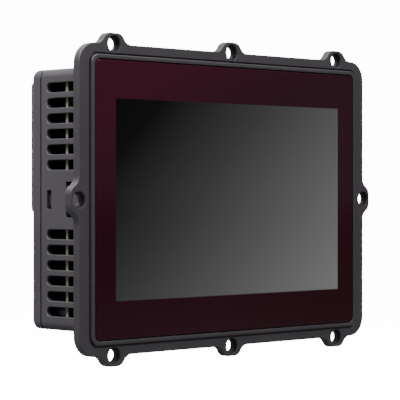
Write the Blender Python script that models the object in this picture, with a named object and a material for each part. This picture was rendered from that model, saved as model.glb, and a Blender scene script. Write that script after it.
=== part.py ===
"""Seven-inch HMI touch panel: a panel-mounted operator terminal with eight screw ears.

Sizes are in millimetres and are turned into Blender's metres where vertices are made.
X runs to the right and Z up as the operator sees the panel, and Y runs away from the operator.
The origin is the middle of the flange's back plane, which seats on the cabinet door.
"""
import math

import bmesh
import bpy
from mathutils import Vector
from mathutils.geometry import delaunay_2d_cdt

MM = 0.001
GAP = 0.3               # clearance between neighbouring pieces
CORNER_STEPS = 6        # segments in each rounded corner
ROUND_STEPS = 16        # segments in bosses and bores
SCREW_STEPS = 12        # segments in screws

# Front bezel
FLANGE_WIDTH = 194.7
FLANGE_HEIGHT = 140.5
FLANGE_RADIUS = 9.5
FLANGE_FRONT = -4.0
EAR_PITCH = 76.2
EAR_REACH = 5.0         # also the radius of the ear's shoulders and of the fillets at its foot
EAR_FLAT_HALF = 2.0
EAR_STEPS = 4
EAR_HOLE_RADIUS = 2.75
EAR_SEAT_RADIUS = 3.85
EAR_SEAT_FLOOR = -1.8
HOLE_STEPS = 24
RIM_FRONT = -5.0
RIM_WIDTH = 1.9
RIM_RADIUS = 4.0
RIM_EDGE = 0.3
GROOVE_WIDTH = 0.8
GROOVE_RADIUS = 4.6
GROOVE_FLOOR = -3.2
POCKET_FLOOR = -2.1
WINDOW_HALF = (81.5, 50.2)
WINDOW_RADIUS = 2.0
SEAL_INNER_HALF = (89.0, 62.4)
SEAL_INNER_RADIUS = 3.0
SEAL_WIDTH = 3.0
SEAL_FLOOR = -1.2
GASKET_BACK = 0.6
INSERT_BORE_RADIUS = 2.7
INSERT_BORE_FLOOR = 12.5

# Touch glass, display and its bracket
GLASS_WIDTH = 176.3
GLASS_HEIGHT = 125.9
GLASS_RADIUS = 2.75
GLASS_GAP = 0.4
GLASS_EDGE = 0.25
GLASS_BACK = -3.2
ADHESIVE_HALF = (82.3, 51.2)
ADHESIVE_DEPTH = (-2.9, -2.4)
SENSOR_HALF = (80.9, 49.7)
LCD_HALF = (79.5, 48.5)
BACKLIGHT_HALF = (80.4, 49.4)
BRACKET_HALF = (80.0, 48.0)
BRACKET_FRONT = 4.9
BRACKET_BACK = 5.9
TAB_X = 45.0
TAB_HALF_WIDTH = 4.0
TAB_TOP = 56.6
SMALL_BOSS_Z = 53.9
SMALL_BOSS_RADIUS = 2.8
SMALL_BORE_FLOOR = 0.5
RIBBON_SLOT = (-16.0, 22.0, 16.0, 40.0)
RIBBON_HALF_WIDTH = 13.0

# Housing
HOUSING_HALF = (86.0, 60.15)
HOUSING_RADIUS = 4.0
WALL = 2.0
HOUSING_BACK = 35.5
SLOT_HEIGHT = 4.4
SLOT_PITCH = 7.1
SLOT_FIRST = 15.9
SLOTS_PER_GROUP = 6
SLOT_FRONT = 8.0
SLOT_BACK = 31.4
SLOT_RADIUS = 2.0
LATCH_DEPTH = (28.4, 31.4)
LATCH_HALF = 4.3
CLAMP_DEPTH = (13.8, 18.1)
CLAMP_HALF = 8.15
TOP_LATCH_X = 40.0

# Rear cover
COVER_FRONT = 36.3
COVER_BACK = 43.4
COVER_ROUNDING = 3.5
COVER_FLOOR = 41.4
TONGUE_FRONT = 34.8
TONGUE_WALL = 1.4
ROUNDING_STEPS = 4
BLOCK_HALF = (84.4, 30.4)   # the raised upper half of the cover
BLOCK_CENTRE = (0.0, 24.3)
BLOCK_BASE = 41.6
BLOCK_BACK = 45.3
BLOCK_ROUNDING = 1.5
BLOCK_FLOOR = 43.3
BLOCK_WALL = 4.0
COVER_VENT_PITCH = 10.0
COVER_VENTS = 11
COVER_VENT_Z = 36.0
HOOK_HALF = 3.6
HOOK_DEPTH = (28.7, 35.4)
NOSE_HALF = 2.4
NOSE_DEPTH = (29.3, 30.9)
NOSE_REACH = 0.9
LABEL_CENTRE = (0.0, -28.0)
LABEL_HALF = (29.7, 11.7)
LABEL_RECESS = 0.5
LABEL_THICKNESS = 0.4

# Fasteners: the long case screws clamp cover, board and bezel together
POST_X = 74.0
POST_Z = 53.9
POST_RADIUS = 3.4
BOSS_TOP = 19.4
CASE_SCREW_RADIUS = 1.5
CASE_SCREW_SEAT = 40.8
CASE_SCREW_END = 42.6
COUNTERBORE_RADIUS = 2.75
INSERT_RADIUS = 2.4
STANDOFF_X = 62.0
STANDOFF_Z = 38.0
SMALL_SCREW_RADIUS = 1.25

# Main board
BOARD_HALF = (83.2, 57.2)
BOARD_FRONT = 19.7
BOARD_BACK = 21.3
BOARD_RADIUS = 1.0
PARTS_FRONT = BOARD_BACK + GAP

# Parts on the board: centres are (X, Z), and a back is the face turned away from the board
PROCESSOR_CENTRE = (12.0, 8.0)
PROCESSOR_HALF = 13.5
PROCESSOR_BACK = 22.9
SINK_HALF = 17.0
SINK_FRONT = PROCESSOR_BACK + GAP
SINK_PLATE = 2.0
SINK_BACK = 34.0
FINS = 8
FIN_WIDTH = 1.3
MEMORY_CENTRE = (44.0, 8.0)
MEMORY_HALF = (6.0, 9.0)
MEMORY_BACK = 22.7
CAPACITOR_CENTRES = ((-54.0, -26.0), (-42.0, -26.0))
CAPACITOR_RADIUS = 4.0
CAPACITOR_BACK = 31.8
INDUCTOR_CENTRE = (-60.0, -8.0)
INDUCTOR_HALF = 6.0
INDUCTOR_BACK = 27.1
BUZZER_CENTRE = (-60.0, 28.0)
BUZZER_RADIUS = 6.0
BUZZER_BACK = 28.6
BATTERY_CENTRE = (-30.0, 25.0)
HOLDER_HALF = 12.2
HOLDER_BACK = 26.6
HOLDER_FLOOR = 22.6
CELL_RADIUS = 10.0
CELL_THICKNESS = 3.2
CONNECTOR_HALF = 15.0
CONNECTOR_FRONT = 16.6
CONNECTOR_HEIGHT = (46.3, 51.3)
RIBBON_START = (5.1, 30.0)      # (Y, Z) where the flat cable leaves the display
RIBBON_END = (18.0, 44.0)
RIBBON_TAIL = 6.0
RIBBON_TIP = 2.0
RIBBON_THICKNESS = 0.3

# Sockets along the bottom wall: X and Y of their middles, Z of their mouths and ends
POWER_X = -50.0
POWER_Y = 27.6
POLE_PITCH = 5.08
POWER_WAYS = (-POLE_PITCH, 0.0, POLE_PITCH)
HEADER_HALF = 9.2
HEADER_MOUTH = -59.4
HEADER_END = -47.0
HEADER_FLOOR = -50.5
PLUG_HALF = (7.9, 4.5)
PLUG_TIP = -50.9
PLUG_REAR = -66.5
CONTACT_TIP = -56.0
WIRE_ENTRY_TOP = -59.5
TERMINAL_Z = -63.3
TERMINAL_HOLE_RADIUS = 2.1
TERMINAL_HEAD = (28.9, 31.4)
RESET_X = -30.0
RESET_Y = 27.0
BUTTON_RADIUS = 2.0
BUTTON_FACE = -60.6
BUTTON_COLLAR = (-57.3, -56.5)
BUTTON_TOP = -55.8
SWITCH_BACK = 30.6
SWITCH_FACE = -54.0
SERIAL_X = -8.0
SERIAL_Y = 27.9
SERIAL_PLATE_HALF = (15.5, 6.2)
SERIAL_PLATE = (-58.2, -59.3)
SERIAL_MOUTH = -65.0
SERIAL_END = -46.0
PIN_PITCH = 2.77
PIN_ROW_OFFSET = 1.4
JACK_OFFSET = 12.5
SOCKET_FACE = -59.5
ETHERNET_XS = (20.0, 38.0)
ETHERNET_Y = 27.5
ETHERNET_HALF = (8.0, 5.9)
ETHERNET_END = -40.5
ETHERNET_FLOOR = -46.5
USB_X = 57.0
USB_Y = 25.1
USB_HALF = (6.6, 3.5)
USB_CAVITY_HALF = (6.2, 2.6)
USB_END = -45.0
USB_FLOOR = -50.0
CARD_X = 30.0
CARD_Y = 17.65
CARD_HALF = (12.0, 1.05)
CARD_HEIGHT = (-60.75, -28.75)
CARD_CORNER = 3.5
SLOT_FACE = -57.0
SLOT_END = -27.5

AXIS_PLACES = {
    "X": lambda u, v, depth: (depth, u, v),
    "Y": lambda u, v, depth: (u, depth, v),
    "Z": lambda u, v, depth: (u, v, depth),
}


# ---------------------------------------------------------------- outlines

def arc(centre, radius, start, end, steps):
    """Points along an arc, with angles in degrees."""
    points = []
    for step in range(steps + 1):
        angle = math.radians(start + (end - start) * step / steps)
        points.append((centre[0] + radius * math.cos(angle), centre[1] + radius * math.sin(angle)))
    return points


def circle(radius, centre=(0.0, 0.0), steps=ROUND_STEPS):
    return arc(centre, radius, 0, 360, steps)[:-1]


def rectangle(left, low, right, high):
    return [(left, low), (right, low), (right, high), (left, high)]


def rounded(half_width, half_height, radius, centre=(0.0, 0.0), steps=CORNER_STEPS):
    """A rectangle with rounded corners, anticlockwise."""
    points = []
    for quarter, (side_x, side_z) in enumerate(((1, 1), (-1, 1), (-1, -1), (1, -1))):
        corner = (centre[0] + side_x * (half_width - radius), centre[1] + side_z * (half_height - radius))
        points += arc(corner, radius, quarter * 90, quarter * 90 + 90, steps)
    return points


def inset(half, amount):
    return half[0] - amount, half[1] - amount


def ear_profile():
    """(offset, height) points over one ear: a fillet, a round shoulder, a flat top and back down."""
    shoulder = arc((EAR_FLAT_HALF, 0.0), EAR_REACH, 90, 30, EAR_STEPS)
    foot_offset = EAR_FLAT_HALF + 2 * EAR_REACH * math.cos(math.radians(30))
    fillet = arc((foot_offset, EAR_REACH), EAR_REACH, 210, 270, EAR_STEPS)
    flank = shoulder + fillet[1:]
    return [(-offset, height) for offset, height in reversed(flank)] + flank


def ear_centres():
    """Centres of the eight mounting holes, three above, three below and one at each side."""
    half_width, half_height = FLANGE_WIDTH / 2, FLANGE_HEIGHT / 2
    rows = [(column * EAR_PITCH, side * half_height) for side in (1, -1) for column in (-1, 0, 1)]
    return rows + [(-half_width, 0.0), (half_width, 0.0)]


def bezel_outline():
    """Walk once round the flange edge, swelling into an ear at every mounting hole."""
    half = (FLANGE_WIDTH / 2, FLANGE_HEIGHT / 2)
    points = []
    for quarter in range(4):
        turn = math.radians(quarter * 90)
        outward = Vector((round(math.cos(turn)), round(math.sin(turn))))
        along = Vector((-outward.y, outward.x))
        reach = half[quarter % 2]
        ears = (0.0,) if quarter % 2 == 0 else (-EAR_PITCH, 0.0, EAR_PITCH)
        for ear in ears:
            for offset, height in ear_profile():
                point = outward * (reach + height) + along * (ear + offset)
                points.append((point.x, point.y))
        across = half[(quarter + 1) % 2] - FLANGE_RADIUS
        centre = outward * (reach - FLANGE_RADIUS) + along * across
        points += arc(centre, FLANGE_RADIUS, quarter * 90, quarter * 90 + 90, CORNER_STEPS)
    return points


# ---------------------------------------------------------------- mesh tools

def encloses(outline, point):
    """Whether a point lies inside an outline, by counting the sides to its right."""
    crossings = 0
    for (u1, v1), (u2, v2) in zip(outline, outline[1:] + outline[:1]):
        if (v1 > point.y) != (v2 > point.y):
            crossings += point.x < u1 + (u2 - u1) * (point.y - v1) / (v2 - v1)
    return crossings % 2 == 1


def triangles_between(one, other):
    """Triangles filling the flat area between two outlines, as indices into one + other."""
    points = [Vector(point) for point in one + other]
    sides = [(index - 1 if index else len(one) - 1, index) for index in range(len(one))]
    first, last = len(one), len(points) - 1
    sides += [(index - 1 if index > first else last, index) for index in range(first, last + 1)]
    found = delaunay_2d_cdt(points, sides, [], 1, 1e-6)
    triangles, origins = found[2], found[3]
    smaller = other if encloses(one, Vector(other[0])) else one
    kept = []
    for triangle in triangles:
        corners = [origins[index][0] for index in triangle]
        middle = sum((points[index] for index in corners), Vector((0.0, 0.0))) / 3
        if not encloses(smaller, middle):
            kept.append(corners)
    return kept


def skin(mesh, rings, axis="Y", closed=False):
    """Add one closed body to the mesh: a skin through (outline, depth) rings with flat ends.

    Rings with equally many points are joined by quads. Other neighbours lie in one plane,
    one inside the other, and the step between them is filled with triangles.
    """
    place = AXIS_PLACES[axis]
    loops = []
    for outline, depth in rings:
        loops.append([mesh.verts.new(Vector(place(u, v, depth)) * MM) for u, v in outline])
    neighbours = list(range(1, len(rings)))
    if closed:
        neighbours.append(0)
    else:
        mesh.faces.new(loops[0])
        mesh.faces.new(loops[-1])
    for ring in neighbours:
        near, far = loops[ring - 1], loops[ring]
        if len(near) == len(far):
            for index in range(len(near)):
                following = (index + 1) % len(near)
                mesh.faces.new((near[index], near[following], far[following], far[index]))
        else:
            corners = near + far
            for triangle in triangles_between(rings[ring - 1][0], rings[ring][0]):
                mesh.faces.new([corners[index] for index in triangle])


def bar(mesh, outline, start, end, axis="Y"):
    skin(mesh, [(outline, start), (outline, end)], axis)


def block(mesh, low, high):
    """An upright box between two corners."""
    bar(mesh, rectangle(low[0], low[2], high[0], high[2]), low[1], high[1])


def build(name, mesh, pivot=(0.0, 0.0, 0.0)):
    """Turn the mesh into an object whose origin is the pivot."""
    bmesh.ops.recalc_face_normals(mesh, faces=mesh.faces)
    bmesh.ops.translate(mesh, verts=mesh.verts, vec=-Vector(pivot) * MM)
    data = bpy.data.meshes.new(name)
    mesh.to_mesh(data)
    mesh.free()
    data.shade_smooth()
    data.set_sharp_from_angle(angle=math.radians(32))
    made = bpy.data.objects.new(name, data)
    made.location = Vector(pivot) * MM
    bpy.context.scene.collection.objects.link(made)
    return made


def combine(target, mesh, operation):
    """Add a Boolean of the target with the bodies in mesh, which become a hidden tool."""
    tool = build(f"{target.name}.{operation.lower()}", mesh)
    tool.hide_render = True
    tool.display_type = "WIRE"
    modifier = target.modifiers.new(operation.title(), "BOOLEAN")
    modifier.operation = operation
    modifier.solver = "EXACT"
    modifier.object = tool


def paint(target, colour, roughness, metallic=0.0):
    material = bpy.data.materials.new(f"{target.name}_material")
    material.use_nodes = True
    shader = material.node_tree.nodes["Principled BSDF"]
    shader.inputs["Base Color"].default_value = (*colour, 1.0)
    shader.inputs["Roughness"].default_value = roughness
    shader.inputs["Metallic"].default_value = metallic
    target.data.materials.append(material)


def turned(name, rings, finish, axis="Y", pivot=(0.0, 0.0, 0.0), closed=False):
    """Build and paint one object skinned through rings."""
    mesh = bmesh.new()
    skin(mesh, rings, axis, closed)
    made = build(name, mesh, pivot)
    paint(made, *finish)
    return made


def four_corners(x, z):
    return [(side_x * x, side_z * z) for side_x in (-1, 1) for side_z in (-1, 1)]


DARK_PLASTIC = ((0.055, 0.05, 0.056), 0.5)
HOUSING_PLASTIC = ((0.085, 0.08, 0.088), 0.55)
BLACK_PLASTIC = ((0.015, 0.015, 0.016), 0.5)
RUBBER = ((0.012, 0.012, 0.012), 0.85)
PRINTED_GLASS = ((0.02, 0.006, 0.009), 0.12)
SOLDER_MASK = ((0.012, 0.09, 0.035), 0.45)
STEEL = ((0.5, 0.5, 0.52), 0.35, 1.0)
BRASS = ((0.65, 0.5, 0.22), 0.35, 1.0)
TERMINAL_GREEN = ((0.03, 0.22, 0.08), 0.5)
LABEL_FOIL = ((0.55, 0.55, 0.56), 0.4)
CAPACITOR_FOIL = ((0.3, 0.3, 0.32), 0.3, 0.7)
ANODISED = ((0.06, 0.06, 0.065), 0.4, 0.8)
FERRITE = ((0.05, 0.05, 0.055), 0.6)
CREAM_PLASTIC = ((0.7, 0.68, 0.6), 0.5)
RIBBON_FILM = ((0.6, 0.5, 0.3), 0.4)
GREY_PLASTIC = ((0.25, 0.25, 0.26), 0.5)


# ---------------------------------------------------------------- front

def seal_line(outwards):
    """Outline in the back gasket's groove, this far out from the groove's inner edge."""
    return rounded(*inset(SEAL_INNER_HALF, -outwards), SEAL_INNER_RADIUS + outwards)


def make_front_bezel():
    """Flange with ears, a groove and a raised rim round the glass pocket, and bosses behind."""
    glass_half = (GLASS_WIDTH / 2, GLASS_HEIGHT / 2)
    pocket = inset(glass_half, -GLASS_GAP)
    rim = inset(pocket, -RIM_WIDTH)
    groove = inset(rim, -GROOVE_WIDTH)
    pocket_line = rounded(*pocket, GLASS_RADIUS + GLASS_GAP)
    rim_line = rounded(*rim, RIM_RADIUS)
    rim_crest = rounded(*inset(rim, RIM_EDGE), RIM_RADIUS - RIM_EDGE)
    groove_line = rounded(*groove, GROOVE_RADIUS)
    window_line = rounded(*WINDOW_HALF, WINDOW_RADIUS)
    seal_inner, seal_outer = seal_line(0.0), seal_line(SEAL_WIDTH)
    edge = bezel_outline()
    mesh = bmesh.new()
    skin(mesh, [
        (edge, FLANGE_FRONT), (groove_line, FLANGE_FRONT), (groove_line, GROOVE_FLOOR),
        (rim_line, GROOVE_FLOOR), (rim_line, RIM_FRONT + RIM_EDGE), (rim_crest, RIM_FRONT),
        (pocket_line, RIM_FRONT), (pocket_line, POCKET_FLOOR), (window_line, POCKET_FLOOR),
        (window_line, 0.0), (seal_inner, 0.0), (seal_inner, SEAL_FLOOR), (seal_outer, SEAL_FLOOR),
        (seal_outer, 0.0), (edge, 0.0),
    ], closed=True)
    bezel = build("front_bezel", mesh)

    bosses = bmesh.new()
    for centre in four_corners(POST_X, POST_Z):
        bar(bosses, circle(POST_RADIUS, centre), -1.0, BOSS_TOP)
    for centre in four_corners(TAB_X, SMALL_BOSS_Z):
        bar(bosses, circle(SMALL_BOSS_RADIUS, centre), -1.0, BRACKET_FRONT - GAP)
    combine(bezel, bosses, "UNION")

    bores = bmesh.new()
    for centre in ear_centres():
        seat, hole = circle(EAR_SEAT_RADIUS, centre, HOLE_STEPS), circle(EAR_HOLE_RADIUS, centre, HOLE_STEPS)
        skin(bores, [(seat, FLANGE_FRONT - 1), (seat, EAR_SEAT_FLOOR), (hole, EAR_SEAT_FLOOR), (hole, 1.0)])
    for centre in four_corners(POST_X, POST_Z):
        bar(bores, circle(INSERT_BORE_RADIUS, centre), INSERT_BORE_FLOOR, BOSS_TOP + 1)
    for centre in four_corners(TAB_X, SMALL_BOSS_Z):
        bar(bores, circle(SMALL_SCREW_RADIUS + GAP, centre), SMALL_BORE_FLOOR, BRACKET_FRONT + 1)
    combine(bezel, bores, "DIFFERENCE")
    paint(bezel, *DARK_PLASTIC)


def make_glass_stack():
    """Cover glass, its adhesive ring, the touch sensor, the LCD cell and its backlight."""
    glass_half = (GLASS_WIDTH / 2, GLASS_HEIGHT / 2)
    full = rounded(*glass_half, GLASS_RADIUS)
    front = rounded(*inset(glass_half, GLASS_EDGE), GLASS_RADIUS - GLASS_EDGE)
    turned("touch_glass", [(front, RIM_FRONT), (full, RIM_FRONT + GLASS_EDGE), (full, GLASS_BACK)],
           PRINTED_GLASS)

    near, far = ADHESIVE_DEPTH
    outer = rounded(*inset(glass_half, 0.5), WINDOW_RADIUS)
    inner = rounded(*ADHESIVE_HALF, WINDOW_RADIUS)
    turned("glass_adhesive", [(outer, near), (outer, far), (inner, far), (inner, near)], RUBBER, closed=True)

    for name, half, front, back, finish in (
        ("touch_sensor", SENSOR_HALF, -2.9, -2.3, PRINTED_GLASS),
        ("lcd_panel", LCD_HALF, -2.0, 0.2, BLACK_PLASTIC),
        ("backlight_unit", BACKLIGHT_HALF, 0.5, 4.5, STEEL),
    ):
        mesh = bmesh.new()
        bar(mesh, rounded(*half, 1.0, steps=3), front, back)
        paint(build(name, mesh), *finish)


def make_panel_gasket():
    inner, outer = seal_line(GAP), seal_line(SEAL_WIDTH - GAP)
    front = SEAL_FLOOR + GAP
    turned("panel_gasket", [(outer, front), (outer, GASKET_BACK), (inner, GASKET_BACK), (inner, front)],
           RUBBER, closed=True)


def bracket_outline():
    """Plate outline with four screw tabs, two above and two below."""
    half_width, half_height = BRACKET_HALF
    upper = [(half_width, half_height)]
    for x in (TAB_X, -TAB_X):
        upper += [(x + TAB_HALF_WIDTH, half_height), (x + TAB_HALF_WIDTH, TAB_TOP)]
        upper += [(x - TAB_HALF_WIDTH, TAB_TOP), (x - TAB_HALF_WIDTH, half_height)]
    upper.append((-half_width, half_height))
    lower = [(-x, -z) for x, z in upper]
    return upper + lower


def make_lcd_bracket():
    mesh = bmesh.new()
    bar(mesh, bracket_outline(), BRACKET_FRONT, BRACKET_BACK)
    bracket = build("lcd_bracket", mesh)
    holes = bmesh.new()
    for centre in four_corners(TAB_X, SMALL_BOSS_Z):
        bar(holes, circle(SMALL_SCREW_RADIUS + GAP, centre), BRACKET_FRONT - 1, BRACKET_BACK + 1)
    bar(holes, rectangle(*RIBBON_SLOT), BRACKET_FRONT - 1, BRACKET_BACK + 1)
    combine(bracket, holes, "DIFFERENCE")
    paint(bracket, *STEEL)


# ---------------------------------------------------------------- fasteners

def screw(name, centre, tip, seat, head_end, shank_radius, head_radius):
    """A screw along +Y with its head at the back and a hexagon socket in the head."""
    shank = circle(shank_radius, centre, SCREW_STEPS)
    head = circle(head_radius, centre, SCREW_STEPS)
    socket = circle(head_radius * 0.52, centre, 6)
    socket_floor = head_end - 0.6 * (head_end - seat)
    turned(name, [(shank, tip), (shank, seat), (head, seat), (head, head_end),
                  (socket, head_end), (socket, socket_floor)], STEEL)


def make_fasteners():
    for number, centre in enumerate(four_corners(TAB_X, SMALL_BOSS_Z), 1):
        screw(f"bracket_screw_{number}", centre, 0.8, BRACKET_BACK + GAP, 7.8, SMALL_SCREW_RADIUS, 2.4)

    for number, centre in enumerate(four_corners(STANDOFF_X, STANDOFF_Z), 1):
        hexagon = circle(2.9, centre, 6)
        bore = circle(SMALL_SCREW_RADIUS + GAP, centre, SCREW_STEPS)
        turned(f"standoff_{number}", [(hexagon, BRACKET_BACK + GAP), (hexagon, BOSS_TOP),
                                      (bore, BOSS_TOP), (bore, 13.0)], BRASS)
        screw(f"board_screw_{number}", centre, 13.4, PARTS_FRONT, 23.2, SMALL_SCREW_RADIUS, 2.5)

    for number, centre in enumerate(four_corners(POST_X, POST_Z), 1):
        outer = circle(INSERT_RADIUS, centre)
        inner = circle(CASE_SCREW_RADIUS + GAP, centre)
        near, far = INSERT_BORE_FLOOR + GAP, BOSS_TOP - GAP
        turned(f"threaded_insert_{number}", [(outer, near), (outer, far), (inner, far), (inner, near)],
               BRASS, closed=True)
        screw(f"case_screw_{number}", centre, 13.2, CASE_SCREW_SEAT, CASE_SCREW_END,
              CASE_SCREW_RADIUS, COUNTERBORE_RADIUS - GAP)


# ---------------------------------------------------------------- housing

def slot_centres():
    """Heights of the side vents, six above the middle and six below."""
    upper = [SLOT_FIRST + SLOT_PITCH * index for index in range(SLOTS_PER_GROUP)]
    return upper + [-height for height in upper]


def make_main_housing():
    """Open frame of four walls, with side vents, latch windows and the bottom sockets' openings."""
    outer = rounded(*HOUSING_HALF, HOUSING_RADIUS)
    inner = rounded(*inset(HOUSING_HALF, WALL), HOUSING_RADIUS / 2)
    mesh = bmesh.new()
    skin(mesh, [(outer, GAP), (outer, HOUSING_BACK), (inner, HOUSING_BACK), (inner, GAP)], closed=True)
    housing = build("main_housing", mesh)

    cuts = bmesh.new()
    wall_inside, wall_outside = HOUSING_HALF[0] - WALL - 1, HOUSING_HALF[0] + 1
    slot_middle = (SLOT_FRONT + SLOT_BACK) / 2
    slot_half = (SLOT_BACK - SLOT_FRONT) / 2
    for side in (-1, 1):
        for height in slot_centres():
            vent = rounded(slot_half, SLOT_HEIGHT / 2, SLOT_RADIUS, (slot_middle, height), steps=4)
            bar(cuts, vent, side * wall_inside, side * wall_outside, "X")
        for (near, far), half in ((LATCH_DEPTH, LATCH_HALF), (CLAMP_DEPTH, CLAMP_HALF)):
            bar(cuts, rectangle(near, -half, far, half), side * wall_inside, side * wall_outside, "X")
    roof_inside, roof_outside = HOUSING_HALF[1] - WALL - 1, HOUSING_HALF[1] + 1
    for x in (-TOP_LATCH_X, TOP_LATCH_X):
        window = rectangle(x - LATCH_HALF, LATCH_DEPTH[0], x + LATCH_HALF, LATCH_DEPTH[1])
        bar(cuts, window, roof_inside, roof_outside, "Z")
    for opening in bottom_openings():
        bar(cuts, opening, -roof_inside, -roof_outside, "Z")
    combine(housing, cuts, "DIFFERENCE")
    paint(housing, *HOUSING_PLASTIC)


def bottom_openings():
    """Outlines, in X and Y, of the cut-outs that the sockets reach through."""
    openings = [
        socket_window((POWER_X, POWER_Y), (HEADER_HALF, 6.0)),
        circle(BUTTON_RADIUS + GAP, (RESET_X, RESET_Y)),
        socket_window((SERIAL_X, SERIAL_Y), SERIAL_PLATE_HALF),
        socket_window((USB_X, USB_Y), USB_HALF),
        socket_window((CARD_X, CARD_Y), CARD_HALF),
    ]
    return openings + [socket_window((x, ETHERNET_Y), ETHERNET_HALF) for x in ETHERNET_XS]


def socket_window(centre, half):
    """A rectangular cut-out with clearance round a socket of this half size."""
    clearance = GAP + 0.1
    x, y = centre
    reach_x, reach_y = inset(half, -clearance)
    return rectangle(x - reach_x, y - reach_y, x + reach_x, y + reach_y)


def make_rear_cover():
    """Shallow tray with rounded edges, a raised upper half, screw posts and snap hooks."""
    cover = build("rear_cover", cover_tray())
    block = bmesh.new()
    radius = HOUSING_RADIUS / 2
    rings = [(rounded(*BLOCK_HALF, radius, BLOCK_CENTRE), BLOCK_BASE)]
    rings += rolled_edge(BLOCK_HALF, radius, BLOCK_ROUNDING, BLOCK_BACK, BLOCK_CENTRE)
    skin(block, rings)
    combine(cover, block, "UNION")
    posts = bmesh.new()
    for post in four_corners(POST_X, POST_Z):
        bar(posts, circle(POST_RADIUS, post), PARTS_FRONT, COVER_FLOOR + 0.6)
    arms, noses = bmesh.new(), bmesh.new()
    add_hooks(arms, noses)
    for additions in (posts, arms, noses):
        combine(cover, additions, "UNION")

    hollow = bmesh.new()
    bar(hollow, rounded(*inset(BLOCK_HALF, BLOCK_WALL), 1.0, BLOCK_CENTRE), COVER_FLOOR - 0.5, BLOCK_FLOOR)
    for post in four_corners(POST_X, POST_Z):
        bore = circle(CASE_SCREW_RADIUS + GAP, post)
        counterbore = circle(COUNTERBORE_RADIUS, post)
        floor = CASE_SCREW_SEAT - GAP
        skin(hollow, [(bore, PARTS_FRONT - 1), (bore, floor), (counterbore, floor),
                      (counterbore, BLOCK_BACK + 1)])
    combine(cover, hollow, "DIFFERENCE")
    cuts = bmesh.new()
    for index in range(COVER_VENTS):
        x = COVER_VENT_PITCH * (index - (COVER_VENTS - 1) / 2)
        bar(cuts, rounded(1.5, 8.0, 1.4, (x, COVER_VENT_Z), steps=3), COVER_FLOOR - 1, BLOCK_BACK + 1)
    label_floor = COVER_BACK - LABEL_RECESS
    recess = rounded(*inset(LABEL_HALF, -GAP), 1.0, LABEL_CENTRE, steps=3)
    bar(cuts, recess, label_floor, COVER_BACK + 1)
    combine(cover, cuts, "DIFFERENCE")
    paint(cover, *HOUSING_PLASTIC)

    plate = rounded(*LABEL_HALF, 1.0, LABEL_CENTRE, steps=3)
    label_front = label_floor + GAP
    turned("label_plate", [(plate, label_front), (plate, label_front + LABEL_THICKNESS)], LABEL_FOIL)


def cover_tray():
    """The cover's floor and skirt, with the tongue that locates it inside the housing's walls."""
    tongue_outer = inset(HOUSING_HALF, WALL + GAP)
    inner_line = rounded(*inset(tongue_outer, TONGUE_WALL), 1.0)
    tongue_line = rounded(*tongue_outer, HOUSING_RADIUS / 2 - GAP)
    rings = [(inner_line, COVER_FLOOR), (inner_line, TONGUE_FRONT), (tongue_line, TONGUE_FRONT),
             (tongue_line, COVER_FRONT), (rounded(*HOUSING_HALF, HOUSING_RADIUS), COVER_FRONT)]
    rings += rolled_edge(HOUSING_HALF, HOUSING_RADIUS, COVER_ROUNDING, COVER_BACK)
    mesh = bmesh.new()
    skin(mesh, rings)
    return mesh


def rolled_edge(half, radius, rounding, back, centre=(0.0, 0.0)):
    """Rings that turn a wall through a quarter circle into a flat back."""
    rings = []
    for step in range(ROUNDING_STEPS + 1):
        angle = math.radians(90 * step / ROUNDING_STEPS)
        pull = rounding * (1 - math.cos(angle))
        outline = rounded(*inset(half, pull), radius - 0.6 * pull, centre)
        rings.append((outline, back - rounding * (1 - math.sin(angle))))
    return rings


def add_hooks(arms, noses):
    """Snap hooks at both sides and two above, on the tongue, whose noses reach into the windows."""
    tongue_x, tongue_z = inset(HOUSING_HALF, WALL + GAP)
    root = 0.6
    near, far = HOOK_DEPTH
    nose_near, nose_far = NOSE_DEPTH
    for side in (-1, 1):
        block_between(arms, (side * (tongue_x - TONGUE_WALL), near, -HOOK_HALF),
                      (side * tongue_x, far, HOOK_HALF))
        block_between(noses, (side * (tongue_x - root), nose_near, -NOSE_HALF),
                      (side * (tongue_x + NOSE_REACH), nose_far, NOSE_HALF))
    for x in (-TOP_LATCH_X, TOP_LATCH_X):
        block_between(arms, (x - HOOK_HALF, near, tongue_z - TONGUE_WALL), (x + HOOK_HALF, far, tongue_z))
        block_between(noses, (x - NOSE_HALF, nose_near, tongue_z - root),
                      (x + NOSE_HALF, nose_far, tongue_z + NOSE_REACH))


def block_between(mesh, one, other):
    low = [min(pair) for pair in zip(one, other)]
    high = [max(pair) for pair in zip(one, other)]
    block(mesh, low, high)


# ---------------------------------------------------------------- electronics

def make_main_board():
    mesh = bmesh.new()
    bar(mesh, rounded(*BOARD_HALF, BOARD_RADIUS, steps=2), BOARD_FRONT, BOARD_BACK)
    board = build("main_board", mesh)
    holes = bmesh.new()
    for centre in four_corners(POST_X, POST_Z):
        bar(holes, circle(CASE_SCREW_RADIUS + GAP, centre), BOARD_FRONT - 1, BOARD_BACK + 1)
    for centre in four_corners(STANDOFF_X, STANDOFF_Z):
        bar(holes, circle(SMALL_SCREW_RADIUS + GAP, centre), BOARD_FRONT - 1, BOARD_BACK + 1)
    combine(board, holes, "DIFFERENCE")
    paint(board, *SOLDER_MASK)


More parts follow.
